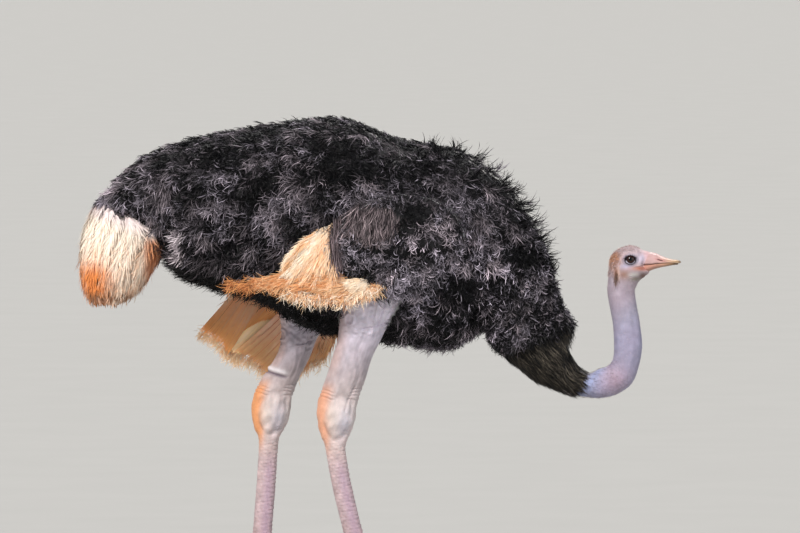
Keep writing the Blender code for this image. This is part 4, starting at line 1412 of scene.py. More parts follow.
def lie_on_spine(p, t, along):
    """The coat lies back and down on the trunk, down on the collar and along the neck at its foot."""
    back = np.interp(t, (0, 10, SHOULDER + 1, 15), (1.0, 0.50, 0.25, -0.05))
    hang = xyz(-back, 0.0, -1.0)
    lie = mixed(hang, along * 1.2, ease(COLLAR_END - 0.4, COLLAR_END + 0.3, t))
    swirl = xyz(*(waves(p, 0.14, seed) for seed in (81, 82, 83)))
    return lie + 0.35 * swirl * ease(COLLAR_END, COLLAR_END - 1, t)[:, None]


def roots_of(t, turn, raised=0.0):
    """Roots on the skin, or `raised` of the way from it to the tips of the coat."""
    p, normal, along, _ = spine_frame(t, turn)
    lie = lie_on_spine(p, t, along)
    depth = (1 - raised) * np.interp(t, *COAT_ALONG)
    return Roots(p - normal * depth[:, None], normal, lie, on_map(t, np.mod(turn, 2 * math.pi)))


def feather_tips(start, end, size, seed):
    """The ends of the black feathers between two places along the body, each with a tone of its own."""
    rng = np.random.default_rng(seed)
    tips = roots_of(*spine_roots(start, end, size, rng))
    tips.tone = rng.uniform(size=len(tips.p))
    return tips


def over_thigh(name, side, p, hem_z):
    """Places outside a thigh, below its hem."""
    along, across, _ = leg_place(name, p)
    return (np.abs(along) < 1.0) & (across > -1.3) & (across < 4.0) & (p[:, 2] < hem_z) & (p[:, 1] * side > 0)


def clear_of_legs(roots, reach=0.030):
    """Leaves out the roots on a leg, and turns forwards the tufts that would hang over its skin."""
    keep = np.ones(len(roots.p), bool)
    tip = roots.p + reach * roots.lie
    over = np.zeros(len(roots.p), bool)
    for name, side in SIDES:
        along, across, _ = leg_place(name, roots.p)
        keep &= ~((np.hypot(along, across) < 1.0) & (roots.p[:, 1] * side > 0) & (roots.p[:, 2] < 0.90))
        keep &= ~over_thigh(name, side, roots.p, THIGH_HEM[name])
        over |= over_thigh(name, side, tip, THIGH_HEM[name] - 0.012)
    forwards = unit(np.array([1.0, 0.0, -0.35]) + 0.2 * roots.lie)
    lie = np.where(over[:, None], forwards, roots.lie)
    return Roots(roots.p, roots.normal, lie, roots.uv, roots.tone, roots.shade).those(keep), keep


def coverts_outline():
    """The coverts' rim in the side view, (x, z), all round."""
    return curve(COVERTS, np.arange(0, len(COVERTS), 0.1), closed=True)


def coverts_share(side, x, z):
    """How far out a place is on a wing in the side view: 1 is its rim."""
    dx, dz = (coverts_outline() - COVERTS_MIDDLE).T
    angle = np.arctan2(dz, dx)
    order = np.argsort(angle)
    rim = angle[order], np.hypot(dx, dz)[order]
    dx, dz = x - COVERTS_MIDDLE[0], z + drop_of(side) - COVERTS_MIDDLE[1]
    return np.hypot(dx, dz) / np.interp(np.arctan2(dz, dx), *rim, period=2 * math.pi)


def clear_of_wings(p):
    """True away from the wings' coverts, which lie over the trunk's coat."""
    keep = np.ones(len(p), bool)
    for _, side in SIDES:
        keep &= ~((coverts_share(side, p[:, 0], p[:, 2]) < 0.80) & (p[:, 1] * side > 0.10))
    return keep


def from_back(turn):
    """How far round from the middle of the back, 0 to pi on either side."""
    return np.abs(np.mod(turn + math.pi, 2 * math.pi) - math.pi)


# Pieces of the trunk's coat: first and last place along it, first and last turn in degrees from the back.
TRUNK_PIECES = {
    "coat_rump": (0, 5.2, -180, 180),
    "coat_back": (5.2, 14.0, -52, 52),
    "coat_flank_right": (5.2, 14.0, -122, -52),
    "coat_flank_left": (5.2, 14.0, 52, 122),
    "coat_belly": (5.2, 14.0, 122, 238),
}
TRUNK_SPACING, COLLAR_SPACING, NECK_FOOT_SPACING = 0.0118, 0.0098, 0.0072
# A patch of pale down behind the tail's root: its middle and reach, (x, z).
DOWN_PLACE, DOWN_REACH = (-0.553, 0.975), (0.014, 0.040)
# Under the rump, between these places along X, ragged clumps stand out backwards.
RAGGED_CORNER = (-0.575, -0.475)
# Kinds of tufts: strands that stand out, the trunk's fluff, pale down and clumps under the rump.
SPIKES = dict(each=13, spread=0.0035, width=0.0019, lift=1.1, droop=0.5, fan=0.28, curl=1.3, wave=0.7,
              turns=1.2, steps=5, roll=0.9, root_shade=0.5)
FLUFF = dict(each=10, spread=0.0055, width=0.0018, fan=0.55, wave=1.1, turns=1.2, fall=0.12, roll=0.8)
DOWN = dict(each=14, length=0.024, width=0.0017, lift=0.5, droop=0.6, fan=0.4, curl=1.0, wave=0.8,
            turns=1.4, fall=0.4)
CLUMPS = dict(each=12, spread=0.004, length=0.046, width=0.0019, lift=0.30, droop=0.0, fan=0.30, curl=0.8,
              wave=0.5, fall=0.1, root_shade=0.5)


def within(x, z, place, reach):
    """True inside an ellipse of the side view."""
    return np.hypot((x - place[0]) / reach[0], (z - place[1]) / reach[1]) < 1


def add_spikes(tufts, roots, rng, share, length):
    """Tufts of curly strands that stand out from the nape and shoulders."""
    chosen = rng.uniform(size=len(roots.p)) < share
    grow(tufts, roots.those(chosen), rng, black_tone(0.22), length=length[chosen], **SPIKES)


def trunk_roots(name, tips, rng):
    """Roots of one piece of the trunk's coat, with their places along it and their turns from the back."""
    first, last, turn_from, turn_to = TRUNK_PIECES[name]
    t, turn = spine_roots(first, last, TRUNK_SPACING, rng)
    degrees = np.degrees(turn)
    degrees = np.where((degrees > 180) & (turn_to <= 180), degrees - 360, degrees)
    inside = (degrees >= turn_from) & (degrees < turn_to) & clear_of_wings(spine_point(t, turn))
    t, turn = t[inside], turn[inside]
    roots, clear = clear_of_legs(feathered(roots_of(t, turn, 0.15), tips))
    return roots, t[clear], from_back(turn[clear])


def trunk_tone(t, around):
    """Greyest along the flanks and at the rump's sides, greyer and brighter low on the chest as painted
    light, and black under the belly as painted shade.
    """
    chest = ease(8, 10, t)
    grey = 0.28 + 0.40 * bell(around, 1.5, 0.60) + 0.60 * ease(3.2, 0.8, t) * bell(around, 1.4, 0.8)
    grey += 0.22 * chest * ease(1.0, 1.6, around)
    grey *= 1 - 0.8 * ease(2.2, 2.7, around) * ease(9.5, 8.5, t)
    bright = 1.08 + 1.2 * chest * ease(1.3, 1.8, around)
    return black_tone(grey, 0.4, bright + 1.0 * ease(2.9, 0.9, t) * ease(0.6, 1.0, around))


def trunk_coat(name, tips, material):
    """One piece of the fluffy black coat, with strands on the nape, pale down and clumps at the rump."""
    rng = np.random.default_rng(sorted(TRUNK_PIECES).index(name) + 11)
    roots, t, around = trunk_roots(name, tips, rng)
    smooth = roots.tone > SMOOTH_FEATHERS
    curl = np.interp(t, (0, 6, 10, 12), (0.9, 1.2, 1.9, 2.2)) * np.where(smooth, 0.35, 1.0)
    length = np.interp(t, (0, 1.2, 7, 10, 12), (0.026, 0.031, 0.028, 0.025, 0.024))
    rump_under = ease(5.0, 3.0, t) * ease(1.7, 2.2, around)
    length = length * np.where(smooth, 1.4, 1.0) * (1 - 0.20 * ease(0.9, 0.4, around))
    length = length * (1 - 0.25 * rump_under)
    lift = 0.50 + 0.25 * ease(0.5, 1.2, around) - 0.35 * rump_under
    tufts = Tufts()
    grow(tufts, roots, rng, trunk_tone(t, around), length=length, lift=lift, curl=curl * 1.3, **FLUFF)
    nape = (t > 9.8) & (around < 0.8)
    add_spikes(tufts, roots.those(nape), rng, 0.11, np.interp(t[nape], (10, 12, 14), (0.034, 0.046, 0.054)))
    under = (t > 1.5) & (t < 6.5) & (around > 1.75) & (around < 2.3)
    add_spikes(tufts, roots.those(under), rng, 0.10, np.full(under.sum(), 0.034))
    x, z = roots.p[:, 0], roots.p[:, 2]
    down = roots.those(within(x, z, DOWN_PLACE, DOWN_REACH))
    down.p, down.shade = down.p + 0.010 * down.normal, np.ones(len(down.p))
    grow(tufts, down, rng, plain_tone((140, 124, 132), (240, 228, 234), 0.8), **DOWN)
    low = (x > RAGGED_CORNER[0]) & (x < RAGGED_CORNER[1]) & (around > 1.9)
    ragged = roots.those(low & (rng.uniform(size=len(x)) < 0.30))
    backwards = np.tile((-1.0, 0.0, -0.45), (len(ragged.p), 1))
    ragged = Roots(ragged.p, ragged.normal, backwards, ragged.uv, ragged.tone)
    grow(tufts, ragged, rng, black_tone(0.15), **CLUMPS)
    return tufts.piece(name, material)


# Where the fluffy collar ends, by the turn from the back to the throat: sleek feathers come after it.
HEM_ALONG = ((0, math.pi / 2, math.pi), (18.8, 17.1, 14.4))
# Kinds of tufts: the collar's fluff, the fringe at its end, and the sleek hairs after it with their ends.
COLLAR_FLUFF = dict(each=9, spread=0.005, length=0.021, width=0.0019, lift=0.80, droop=1.3, fan=0.6, curl=2.6,
                    wave=1.0, turns=1.1, fall=0.15, roll=0.8)
COLLAR_FRINGE = dict(length=0.024, width=0.0018, lift=0.85, droop=0.7, fan=0.35, curl=1.1, wave=0.6, fall=0.6)
SLEEK = dict(each=9, spread=0.0042, length=0.034, width=0.0014, lift=0.14, droop=0.10, fan=0.14, curl=0.22,
             wave=0.25, steps=3, roll=0.3, root_shade=0.5)
SLEEK_ENDS = dict(each=5, length=0.024, width=0.0009, lift=0.30, droop=0.05, fan=0.32, curl=0.3, wave=0.2,
                  roll=0.5)
PALE_ENDS = dict(each=6, spread=0.004, length=0.020, width=0.0011, lift=0.35, droop=0.2, fan=0.35, curl=0.5,
                 wave=0.3, steps=3)


def hem(turn):
    """The place along the neck where the collar ends, by the turn."""
    return np.interp(from_back(turn), *HEM_ALONG)


def collar_coat(name, first, last, tips, material):
    """The curly collar between two places along the neck, down to its hem."""
    rng = np.random.default_rng(31 + int(first))
    t, turn = spine_roots(first, last, COLLAR_SPACING, rng)
    inside = t < hem(turn) - 0.12
    t, turn = t[inside], turn[inside]
    roots = feathered(roots_of(t, turn, 0.10), tips, 0.024, 0.006)
    tufts = Tufts()
    grow(tufts, roots, rng, black_tone(0.60, 0.4, 1.15), **COLLAR_FLUFF)
    nape = (t < 16.6) & (from_back(turn) < 0.75)
    length = np.interp(t[nape], (14, 15.4, 16.6), (0.054, 0.040, 0.030))
    add_spikes(tufts, roots.those(nape), rng, 0.10, length)
    grow(tufts, roots.those(t > hem(turn) - 0.55), rng, black_tone(0.30), **COLLAR_FRINGE)
    return tufts.piece(name, material)


def neck_foot_coat(material):
    """Sleek dark hairs that run along the neck and end in a ragged edge on the bare skin."""
    rng = np.random.default_rng(41)
    t, turn = spine_roots(14.0, SKIN_EDGE, NECK_FOOT_SPACING, rng)
    inside = (t > hem(turn) - 0.5) & (past_edge(spine_point(t, turn), t) < -0.014)
    t, turn = t[inside], turn[inside]
    p, normal, along, _ = spine_frame(t, turn)
    under_hem = ease(0.55, 0.0, t - hem(turn))
    depth = np.minimum(np.interp(t, *COAT_ALONG), 0.0045 + 0.009 * under_hem)
    shade = 0.75 + 0.45 * waves(p, 0.022, 84)
    roots = Roots(p - normal * depth[:, None], normal, along, on_map(t, turn), None, shade)
    sleek = plain_tone(SLEEK_DARK, SLEEK_BROWN_AND_SHEEN, 2.6)
    tufts = Tufts()
    grow(tufts, roots, rng, sleek, **SLEEK)
    edge = past_edge(p, t) > -0.034
    grow(tufts, roots.those(edge), rng, sleek, **SLEEK_ENDS)
    pale = edge & (rng.uniform(size=len(t)) < 0.10)
    grow(tufts, roots.those(pale), rng, plain_tone((150, 140, 140), (226, 220, 224)), **PALE_ENDS)
    return tufts.piece("coat_neck_foot", material)


# ------------------------------------------------------------------ the wings' black coverts

COVERTS_SPACING = 0.0100
# The silky patch of a wing: its middle and reach, (x, z).
SILKY_PLACE, SILKY_REACH = (-0.014, 1.040), (0.072, 0.050)
# Folds painted dark as shade, each as its places along X and their heights: the one under the silky
# coverts, and the one down the shoulder.
FOLD_LINE = ((-0.050, 0.0, 0.074, 0.150), (0.978, 0.956, 0.942, 0.936))
SHOULDER_LINE = ((0.056, 0.085, 0.127, 0.185), (1.066, 1.010, 0.978, 0.964))
# Long mauve feathers hang along this line, the coverts' rear edge.
REAR_EDGE = ((-0.122, 1.050), (-0.124, 1.000), (-0.126, 0.960), (-0.118, 0.940))
# Black feathers from this line of (x, z) places hang over the roots of the left wing's plumes.
OVER_LEFT_WING = ((-0.350, 0.935), (-0.270, 0.945), (-0.170, 0.925), (-0.110, 0.900), (-0.050, 0.880))
# Kinds of tufts: fluff, silky strands, the short ones in the folds, long ones, those of the rear edge and
# those over the left wing's plumes.
COVERTS_FLUFF = dict(each=10, length=0.022, width=0.0019, lift=0.65, droop=1.1, fan=0.5, curl=2.5, wave=1.1,
                     turns=1.2, fall=0.12, roll=0.8)
SILKY = dict(each=13, length=0.030, width=0.0016, lift=0.34, droop=0.6, fan=0.16, curl=0.5, wave=0.8,
             turns=1.6, steps=5, fall=0.10)
IN_FOLDS = dict(each=6, length=0.014, width=0.0018, lift=0.2, droop=0.4, fan=0.4, curl=0.8, wave=0.3)
LONG = dict(each=8, length=0.050, width=0.0018, lift=0.25, droop=0.35, fan=0.12, curl=0.3, wave=0.3,
            turns=1.2, steps=5, fall=0.15)
AT_REAR = dict(LONG, each=6, spread=0.004, fall=0.3, width=0.0016, lie=(0.04, 0.0, -1.0))
OVER_PLUMES = dict(each=10, spread=0.012, length=0.046, width=0.0020, lift=0.32, droop=0.7, fan=0.5, curl=1.2,
                   wave=0.7, turns=1.2, steps=5, fall=0.2, lie=(-0.45, 0.0, -1.0))


def coverts_roots(side, spacing, rng):
    """Staggered roots all over a wing's outer face."""
    shares, turns = [], []
    outline = coverts_outline()
    girth = np.linalg.norm(np.diff(outline, axis=0), axis=1).sum()
    reach = np.linalg.norm(outline - COVERTS_MIDDLE, axis=1).mean()
    for share in np.arange(spacing / reach / 2, 1.0, spacing / reach):
        count = max(int(girth * share / spacing), 4)
        turns.append((np.arange(count) + rng.uniform() + 0.4 * rng.uniform(-1, 1, count)) / count % 1.0)
        shares.append(np.full(count, share) + 0.4 * spacing / reach * rng.uniform(-1, 1, count))
    share, turn = np.clip(np.concatenate(shares), 0.01, 0.985), np.concatenate(turns)
    p = coverts_point(side, share, turn)
    outwards = coverts_point(side, share + SMALL_STEP, turn) - p
    around = coverts_point(side, share, turn + SMALL_STEP) - p
    normal = unit(np.cross(outwards, around))
    normal = np.where((normal[:, 1] * side < 0)[:, None], -normal, normal)
    normal = unit(normal + np.array([0, 0.8 * side, 0]))
    sunk = np.interp(share, (0, 0.9, 1.0), (PAD_COAT - 0.004, PAD_COAT - 0.006, 0.006))
    roots = Roots(p - normal * sunk[:, None], normal, coverts_lie(side, p), on_map(p[:, 0], p[:, 2]))
    roots.tone = rng.uniform(size=len(p))
    return roots


def coverts_lie(side, p):
    """Down and back, turning back along the wing towards its rear edge."""
    x, z = p[:, 0], p[:, 2] + drop_of(side)
    back = 0.25 + 0.5 * ease(1.03, 1.07, z) - 0.2 * ease(-0.03, -0.12, x) - 0.3 * ease(0.95, 0.86, z)
    return xyz(-back, 0.0, -1.0) + 0.30 * xyz(waves(p, 0.09, 91), 0.0, waves(p, 0.09, 92))


def coverts_coat(name, side, material):
    """A wing's coverts: fluff, a silky mauve patch, folds painted dark as shade and long feathers at the rear
    edge.
    """
    rng = np.random.default_rng(51 + side)
    tips = coverts_roots(side, 0.032, rng)
    roots = feathered(coverts_roots(side, COVERTS_SPACING, rng), tips, 0.032, 0.009)
    roots, _ = clear_of_legs(roots, 0.022)
    x, z = roots.p[:, 0], roots.p[:, 2] + drop_of(side)
    silky = within(x, z, SILKY_PLACE, SILKY_REACH)
    fold = np.zeros(len(x), bool)
    for across, height in (FOLD_LINE, SHOULDER_LINE):
        inside = (x > across[0]) & (x < across[-1])
        fold |= inside & (np.abs(z - 0.010 - np.interp(x, across, height)) < 0.012)
    tufts = Tufts()
    grow(tufts, roots.those(~silky & ~fold), rng, black_tone(0.80, 0.4, 1.6), **COVERTS_FLUFF)
    smooth = roots.those(silky)
    smooth.shade = 0.6 + 0.4 * smooth.shade
    hang = np.array([-0.12, 0, -1]) + smooth.normal * smooth.normal[:, 2:]
    smooth.lie = unit(hang + 0.12 * smooth.lie)
    grow(tufts, smooth, rng, plain_tone((34, 29, 32), (170, 152, 156)), **SILKY)
    # The short tufts in the folds are painted near black: painted shade.
    grow(tufts, roots.those(fold), rng, plain_tone((8, 8, 9), (22, 20, 22)), **IN_FOLDS)
    pointed = roots.those((x < -0.050) & (z > 1.030))
    pointed.lie = np.tile([-0.75, 0.0, -1.0], (len(pointed.p), 1))
    grow(tufts, pointed, rng, plain_tone((60, 50, 54), (190, 170, 174)), **LONG)
    line = np.array(REAR_EDGE) - np.array([0.0, drop_of(side)])
    mauve = plain_tone((48, 40, 44), (158, 138, 142))
    frizz(tufts, rng, side, line, 70, mauve, COVERTS_TUCK, **AT_REAR)
    if side > 0:
        black = plain_tone((14, 13, 15), (120, 108, 112), 2.2)
        frizz(tufts, rng, side, OVER_LEFT_WING, 260, black, LEFT_TUCK, **OVER_PLUMES)
    return tufts.piece("coat_coverts_" + name, material)


# ------------------------------------------------------------------ pale plumes

CREAM, WARM_WHITE, PLUME_ORANGE = srgb(255, 246, 230), srgb(252, 232, 214), srgb(240, 178, 124)
DEEP_ORANGE, PLUME_BROWN, PALE_MAUVE = srgb(230, 140, 72), srgb(150, 98, 62), srgb(222, 206, 216)
# The part of a quill that has barbs.
BARBS_ALONG = (0.03, 1.0)


def grow_plumes(
    tufts, quills, facing, reach, barbs, rng, colour, uv, width, angles, loose, curl, fall, steps=5,
    ruffle=0.10,
):
    """Barbs on both sides of each quill (plumes, places, 3), which lies flat to the way it is `facing`."""
    plumes, places, _ = quills.shape
    share = np.linspace(*BARBS_ALONG, barbs)
    at = share * (places - 1)
    low = np.minimum(at.astype(int), places - 2)
    part = (at - low)[None, :, None]
    root = quills[:, low] * (1 - part) + quills[:, low + 1] * part
    run = unit(quills[:, low + 1] - quills[:, low])
    out = unit(facing[:, low] * (1 - part) + facing[:, low + 1] * part)
    profile = np.sin(math.pi * np.clip(0.22 + 0.66 * share, 0, 1)) ** 0.6
    own_chance = rng.uniform(size=plumes)
    for hand in (-1, 1):
        side = hand * unit(np.cross(out, run))
        count = plumes * barbs
        angle = (angles[0] + (angles[1] - angles[0]) * share)[None] + loose * rng.normal(size=(plumes, barbs))
        heading = run * np.cos(angle)[..., None] + side * np.sin(angle)[..., None]
        heading = unit(heading + out * (0.03 + ruffle * rng.normal(size=(plumes, barbs)))[..., None])
        long = reach[:, None] * profile[None] * np.clip(1 + 0.20 * rng.normal(size=(plumes, barbs)), 0.3, 1.7)
        start, heading, normal = (value.reshape(count, -1) for value in (root, heading, out))
        vary = rng.normal(size=(3, count))
        paths, headings = strip_paths(
            start, heading, normal, long.ravel(), steps, curl * vary[0] - hand * 0.12, curl * vary[1],
            curl * 0.6, 1.3, rng.uniform(0, 6.28, count), fall,
        )
        widths = widths_along(width * np.clip(1 + 0.25 * vary[1], 0.5, 1.6), steps + 1)
        chance = 0.62 * own_chance.repeat(barbs) + 0.38 * rng.uniform(size=count)
        out_along = np.tile(np.linspace(0, 1, steps + 1), count)
        colours = colour(paths.reshape(-1, 3), np.repeat(chance, steps + 1), out_along).reshape(paths.shape)
        across = rolled(normal, headings, 0.35 * vary[2])
        tufts.add(paths, across, widths, colours, np.repeat(uv, barbs, axis=0))


def add_stems(tufts, quills, facing, colour, uv, width):
    """The quills themselves."""
    sides = unit(np.cross(facing, np.gradient(quills, axis=1)))
    widths = widths_along(np.full(len(quills), width), quills.shape[1], 1.0)
    colours = np.broadcast_to(colour, quills.shape).copy()
    tufts.add(quills + 0.0006 * facing, sides, widths, colours, uv)


def bent(start, end, bow, places):
    """Points from start to end, (n, k), that bow aside by `bow` in the middle."""
    s = np.linspace(0, 1, places)[None, :, None]
    return start[:, None] * (1 - s) + end[:, None] * s + bow[:, None] * 4 * s * (1 - s)


def tail_point(t, turn, sunk):
    """Points inside the tail's outline: turn 0 is its rear edge, and `sunk` is a share of the way in."""
    rx, rz, fx, fz, half = curve(TAIL_ROWS, t).T
    along, across = np.cos(turn) * (1 - sunk), np.sin(turn) * (1 - sunk)
    mx, mz, reach_x, reach_z = (rx + fx) / 2, (rz + fz) / 2, (rx - fx) / 2, (rz - fz) / 2
    return xyz(mx + reach_x * along, half * across, mz + reach_z * along)


def tail_colour(p, chance, out_along):
    """Cream, mauve at the rump, orange low at the rear, along the front edge and at the barbs' ends."""
    x, z = p[:, 0], p[:, 2]
    rear = ease(-0.715, -0.785, x)
    low = ease(0.950, 0.880, z)
    streak = 0.5 + 0.5 * waves(p * np.array([1.6, 1.6, 0.22]), 0.022, 101)
    colour = mixed(np.tile(CREAM, (len(p), 1)), WARM_WHITE, streak)
    edge = ease(0.45, 1.0, out_along) * ease(1.00, 0.93, z)
    colour = mixed(colour, PLUME_ORANGE, 0.30 * ease(0.55, 1.0, chance) * ease(0.99, 0.94, z) + 0.40 * edge)
    colour = mixed(colour, DEEP_ORANGE, low * rear * (0.55 + 0.45 * ease(0.25, 0.6, chance)))
    colour = mixed(colour, PLUME_ORANGE, 0.45 * ease(0.870, 0.825, z) * (1 - rear) * ease(0.35, 0.6, chance))
    colour = mixed(colour, PLUME_BROWN * 0.8, 0.85 * ease(0.842, 0.820, z) * ease(0.50, 0.62, chance))
    front = ease(-0.668, -0.636, x) * ease(1.00, 0.97, z)
    colour = mixed(colour, DEEP_ORANGE, 0.8 * front)
    colour = mixed(colour, PALE_MAUVE, 0.6 * ease(0.990, 1.040, z + 0.35 * (x + 0.70)))
    # Each plume is lighter or darker at random, and its barbs darker towards their ends: painted shade where
    # they go under the next plume.
    return colour * (0.84 + 0.30 * chance - 0.10 * out_along)[:, None]


def tail_quills(count, begins, ends, sunk, rng, places=14):
    """Quills that hang round the tail between two places along it, `sunk` a share of the way in."""
    turn = (np.arange(count) * 0.618 % 1.0) * 2 * math.pi
    share = np.linspace(0, 1, places)
    t = begins[:, None] + (ends - begins)[:, None] * share
    swung = turn[:, None] + 0.12 * rng.normal(size=(count, 1)) * share
    inset = sunk[:, None] + 0.05 * share
    flat = [value.ravel() for value in (t, swung, np.broadcast_to(inset, t.shape))]
    quills = tail_point(*flat).reshape(count, places, 3)
    core = tail_point(flat[0], flat[1], np.ones(t.size)).reshape(count, places, 3)
    return quills, unit(quills - core + 1e-5), on_map(turn, begins + 3 * sunk)


# The tail's layers: plumes, first and last place where they start, and where they end, how far in they
# lie, barb length, barbs, width, angles, loose, curl.
TAIL_LAYERS = {
    "inner": (40, (0.0, 1.5), (4.2, 5.1), (0.25, 0.55), 0.050, 32, 0.0060, (0.60, 0.40), 0.20, 0.40),
    "under": (52, (0.0, 1.0), (4.0, 5.0), (0.10, 0.20), 0.055, 52, 0.0046, (0.42, 0.25), 0.08, 0.20),
    "outer": (27, (0.0, 0.8), (3.1, 4.65), (0.00, 0.07), 0.048, 76, 0.0030, (0.40, 0.34), 0.09, 0.28),
}
# Dark strands that hang from the rump over the tail's front: how many, and their kind.
DARK_STRANDS = 90
STRANDS = dict(each=7, spread=0.008, length=0.040, width=0.0017, lift=0.12, fan=0.15, curl=0.3, droop=0.2,
               wave=0.3, root_shade=0.8)


def build_tail(material):
    """A bunch of drooping plumes that hangs from the rump: loose ones inside, silky ones over them."""
    rng = np.random.default_rng(61)
    tufts = Tufts()
    for count, begins, ends, sunk, reach, barbs, width, angles, loose, curl in TAIL_LAYERS.values():
        drawn = [rng.uniform(*span, count) for span in (begins, ends, sunk)]
        quills, facing, uv = tail_quills(count, *drawn, rng)
        grow_plumes(tufts, quills, facing, np.full(count, reach), barbs, rng, tail_colour, uv, width, angles,
                    loose, curl, 0.35, ruffle=0.05)
    t, turn = rng.uniform(0.0, 1.5, DARK_STRANDS), rng.uniform(2.1, 4.2, DARK_STRANDS)
    p = tail_point(t, turn, np.full(DARK_STRANDS, -0.02))
    outward_way = unit(p - tail_point(t, turn, np.ones(DARK_STRANDS)))
    roots = Roots(p, outward_way, np.tile([-0.30, 0.0, -1.0], (DARK_STRANDS, 1)), on_map(turn, t))
    grow(tufts, roots, rng, plain_tone((34, 29, 33), (128, 112, 124)), **STRANDS)
    return tufts.piece("tail_plumes", material)


# A fan of plumes over the flank: how far out its lowest plume lies, and how much further its highest one.
FAN_HEIGHT, FAN_DEPTH = 0.012, 0.016
FAN_PLACES = 12


def on_line(line, share):
    """Places at shares of a line of (x, z) corners."""
    at = share * (len(line) - 1)
    return np.stack([np.interp(at, np.arange(len(line)), places) for places in np.transpose(line)], 1)


def fan_lines(group, tuck, side, height, rng, places=FAN_PLACES):
    """Paths from one line to another over the flank, `height` out from it, and the way they face."""
    roots, tips, count, bow = group
    share = (np.arange(count) + rng.uniform(0.3, 0.7, count)) / count
    start, end = on_line(roots, share), on_line(tips, share)
    run = unit(end - start)
    side_on = np.stack([-run[:, 1], run[:, 0]], 1)
    end = end + run * (0.004 * rng.normal(size=count))[:, None]
    flat = bent(start, end, bow * side_on, places)
    x, z = flat[..., 0].ravel(), flat[..., 1].ravel()
    y = flank(x, z, tuck) + np.broadcast_to(height, (count, places)).ravel()
    paths = xyz(x, side * y, z).reshape(count, places, 3)
    slope = (flank(x, z + 0.01, tuck) - flank(x, z - 0.01, tuck)) / 0.02
    facing = unit(xyz(0.0, side, -slope)).reshape(count, places, 3)
    return paths, facing, on_map(share, rng.uniform(size=count))


def fan_quills(group, tuck, side, rng):
    """Quills that rise from their roots under the coverts to their own height over the flank."""
    height = FAN_HEIGHT + FAN_DEPTH * rng.uniform(size=(group[2], 1))
    rise = 0.002 + height * ease(0, 0.7, np.linspace(0, 1, FAN_PLACES))
    return fan_lines(group, tuck, side, rise, rng)


def add_sheet(tufts, group, tuck, side, height, colour, rng, width):
    """A smooth vane: fine barbs side by side from one line to another, in gentle folds."""
    paths, facing, uv = fan_lines(group, tuck, side, height, rng, 10)
    flat = paths.reshape(-1, 3) * np.array([1.0, 0.0, 1.0])
    fold = 0.006 * waves(flat, 0.16, 118).reshape(paths.shape[:2]) + 0.0006 * rng.normal(size=(len(paths), 1))
    paths = paths + np.array([0.0, side, 0.0]) * fold[..., None]
    headings = unit(np.gradient(paths, axis=1))
    across = unit(np.cross(facing, headings))
    tilt = (0.16 * rng.normal(size=len(paths)))[:, None, None]
    across = across * np.cos(tilt) + np.cross(headings, across) * np.sin(tilt)
    widths = widths_along(width * rng.uniform(0.8, 1.2, len(paths)), paths.shape[1], 0.9, 0.6)
    chance = rng.uniform(size=len(paths)).repeat(paths.shape[1])
    out_along = np.tile(np.linspace(0, 1, paths.shape[1]), len(paths))
    colours = colour(paths.reshape(-1, 3), chance, out_along).reshape(paths.shape)
    tufts.add(paths, across, widths, colours, uv)


def streaked(light, dark, seed, shade, tipped=None):
    """Colour that runs from light to dark, plume by plume and in streaks, and to `tipped` at the ends."""
    def colour(p, chance, out_along):
        streak = 0.5 + 0.35 * waves(p, 0.018, seed)
        mix = mixed(np.tile(light, (len(p), 1)), dark, np.clip(0.55 * chance + 0.65 * streak - 0.15, 0, 1))
        if tipped is not None:
            mix = mixed(mix, tipped, ease(0.55, 1.0, out_along))
        return mix * (shade + 0.24 * chance)[:, None]
    return colour


def frizz(tufts, rng, side, line, count, tone, tuck, lie=(-0.35, 0.0, -1.0), **style):
    """Curly ends along a line of (x, z) places over the flank."""
    place = rng.uniform(0, 1, count)
    x, z = on_line(line, place).T
    x, z = x + 0.006 * rng.normal(size=count), z + 0.007 * rng.normal(size=count)
    y = side * (flank(x, z, tuck) + FAN_HEIGHT + FAN_DEPTH * rng.uniform(size=count))
    normal = np.tile([0.0, side, 0.0], (count, 1))
    uv = on_map(place, rng.uniform(size=count))
    roots = Roots(xyz(x, y, z), normal, np.tile(lie, (count, 1)), uv)
    grow(tufts, roots, rng, tone, **style)


PLUME_COLOURS = {
    "white": streaked(srgb(255, 238, 214), srgb(244, 182, 128), 111, 0.92, srgb(244, 196, 146)),
    "warm": streaked(srgb(248, 214, 176), srgb(216, 146, 90), 112, 0.86, srgb(242, 194, 144)),
    "pale": streaked(srgb(255, 246, 232), srgb(246, 214, 176), 112, 0.90, srgb(250, 226, 196)),
    "orange": streaked(PLUME_ORANGE, srgb(204, 124, 66), 113, 0.86, srgb(246, 206, 160)),
    # The next three, used on the hanging wing, are painted lighter than its vanes are, the last past full
    # white: painted light, for light through the vanes in the body's shadow.
    "brown": streaked(srgb(255, 210, 172), srgb(248, 164, 110), 115, 0.96, srgb(250, 178, 108)),
    "red": streaked(srgb(255, 224, 198), srgb(255, 182, 140), 116, 1.00, srgb(255, 200, 140)),
    "cream": streaked(srgb(255, 234, 196), srgb(255, 220, 168), 117, 1.30),
}
# How strongly a wing's plumes follow the flank inwards under the body.
RIGHT_TUCK, LEFT_TUCK = 0.55, 0.0
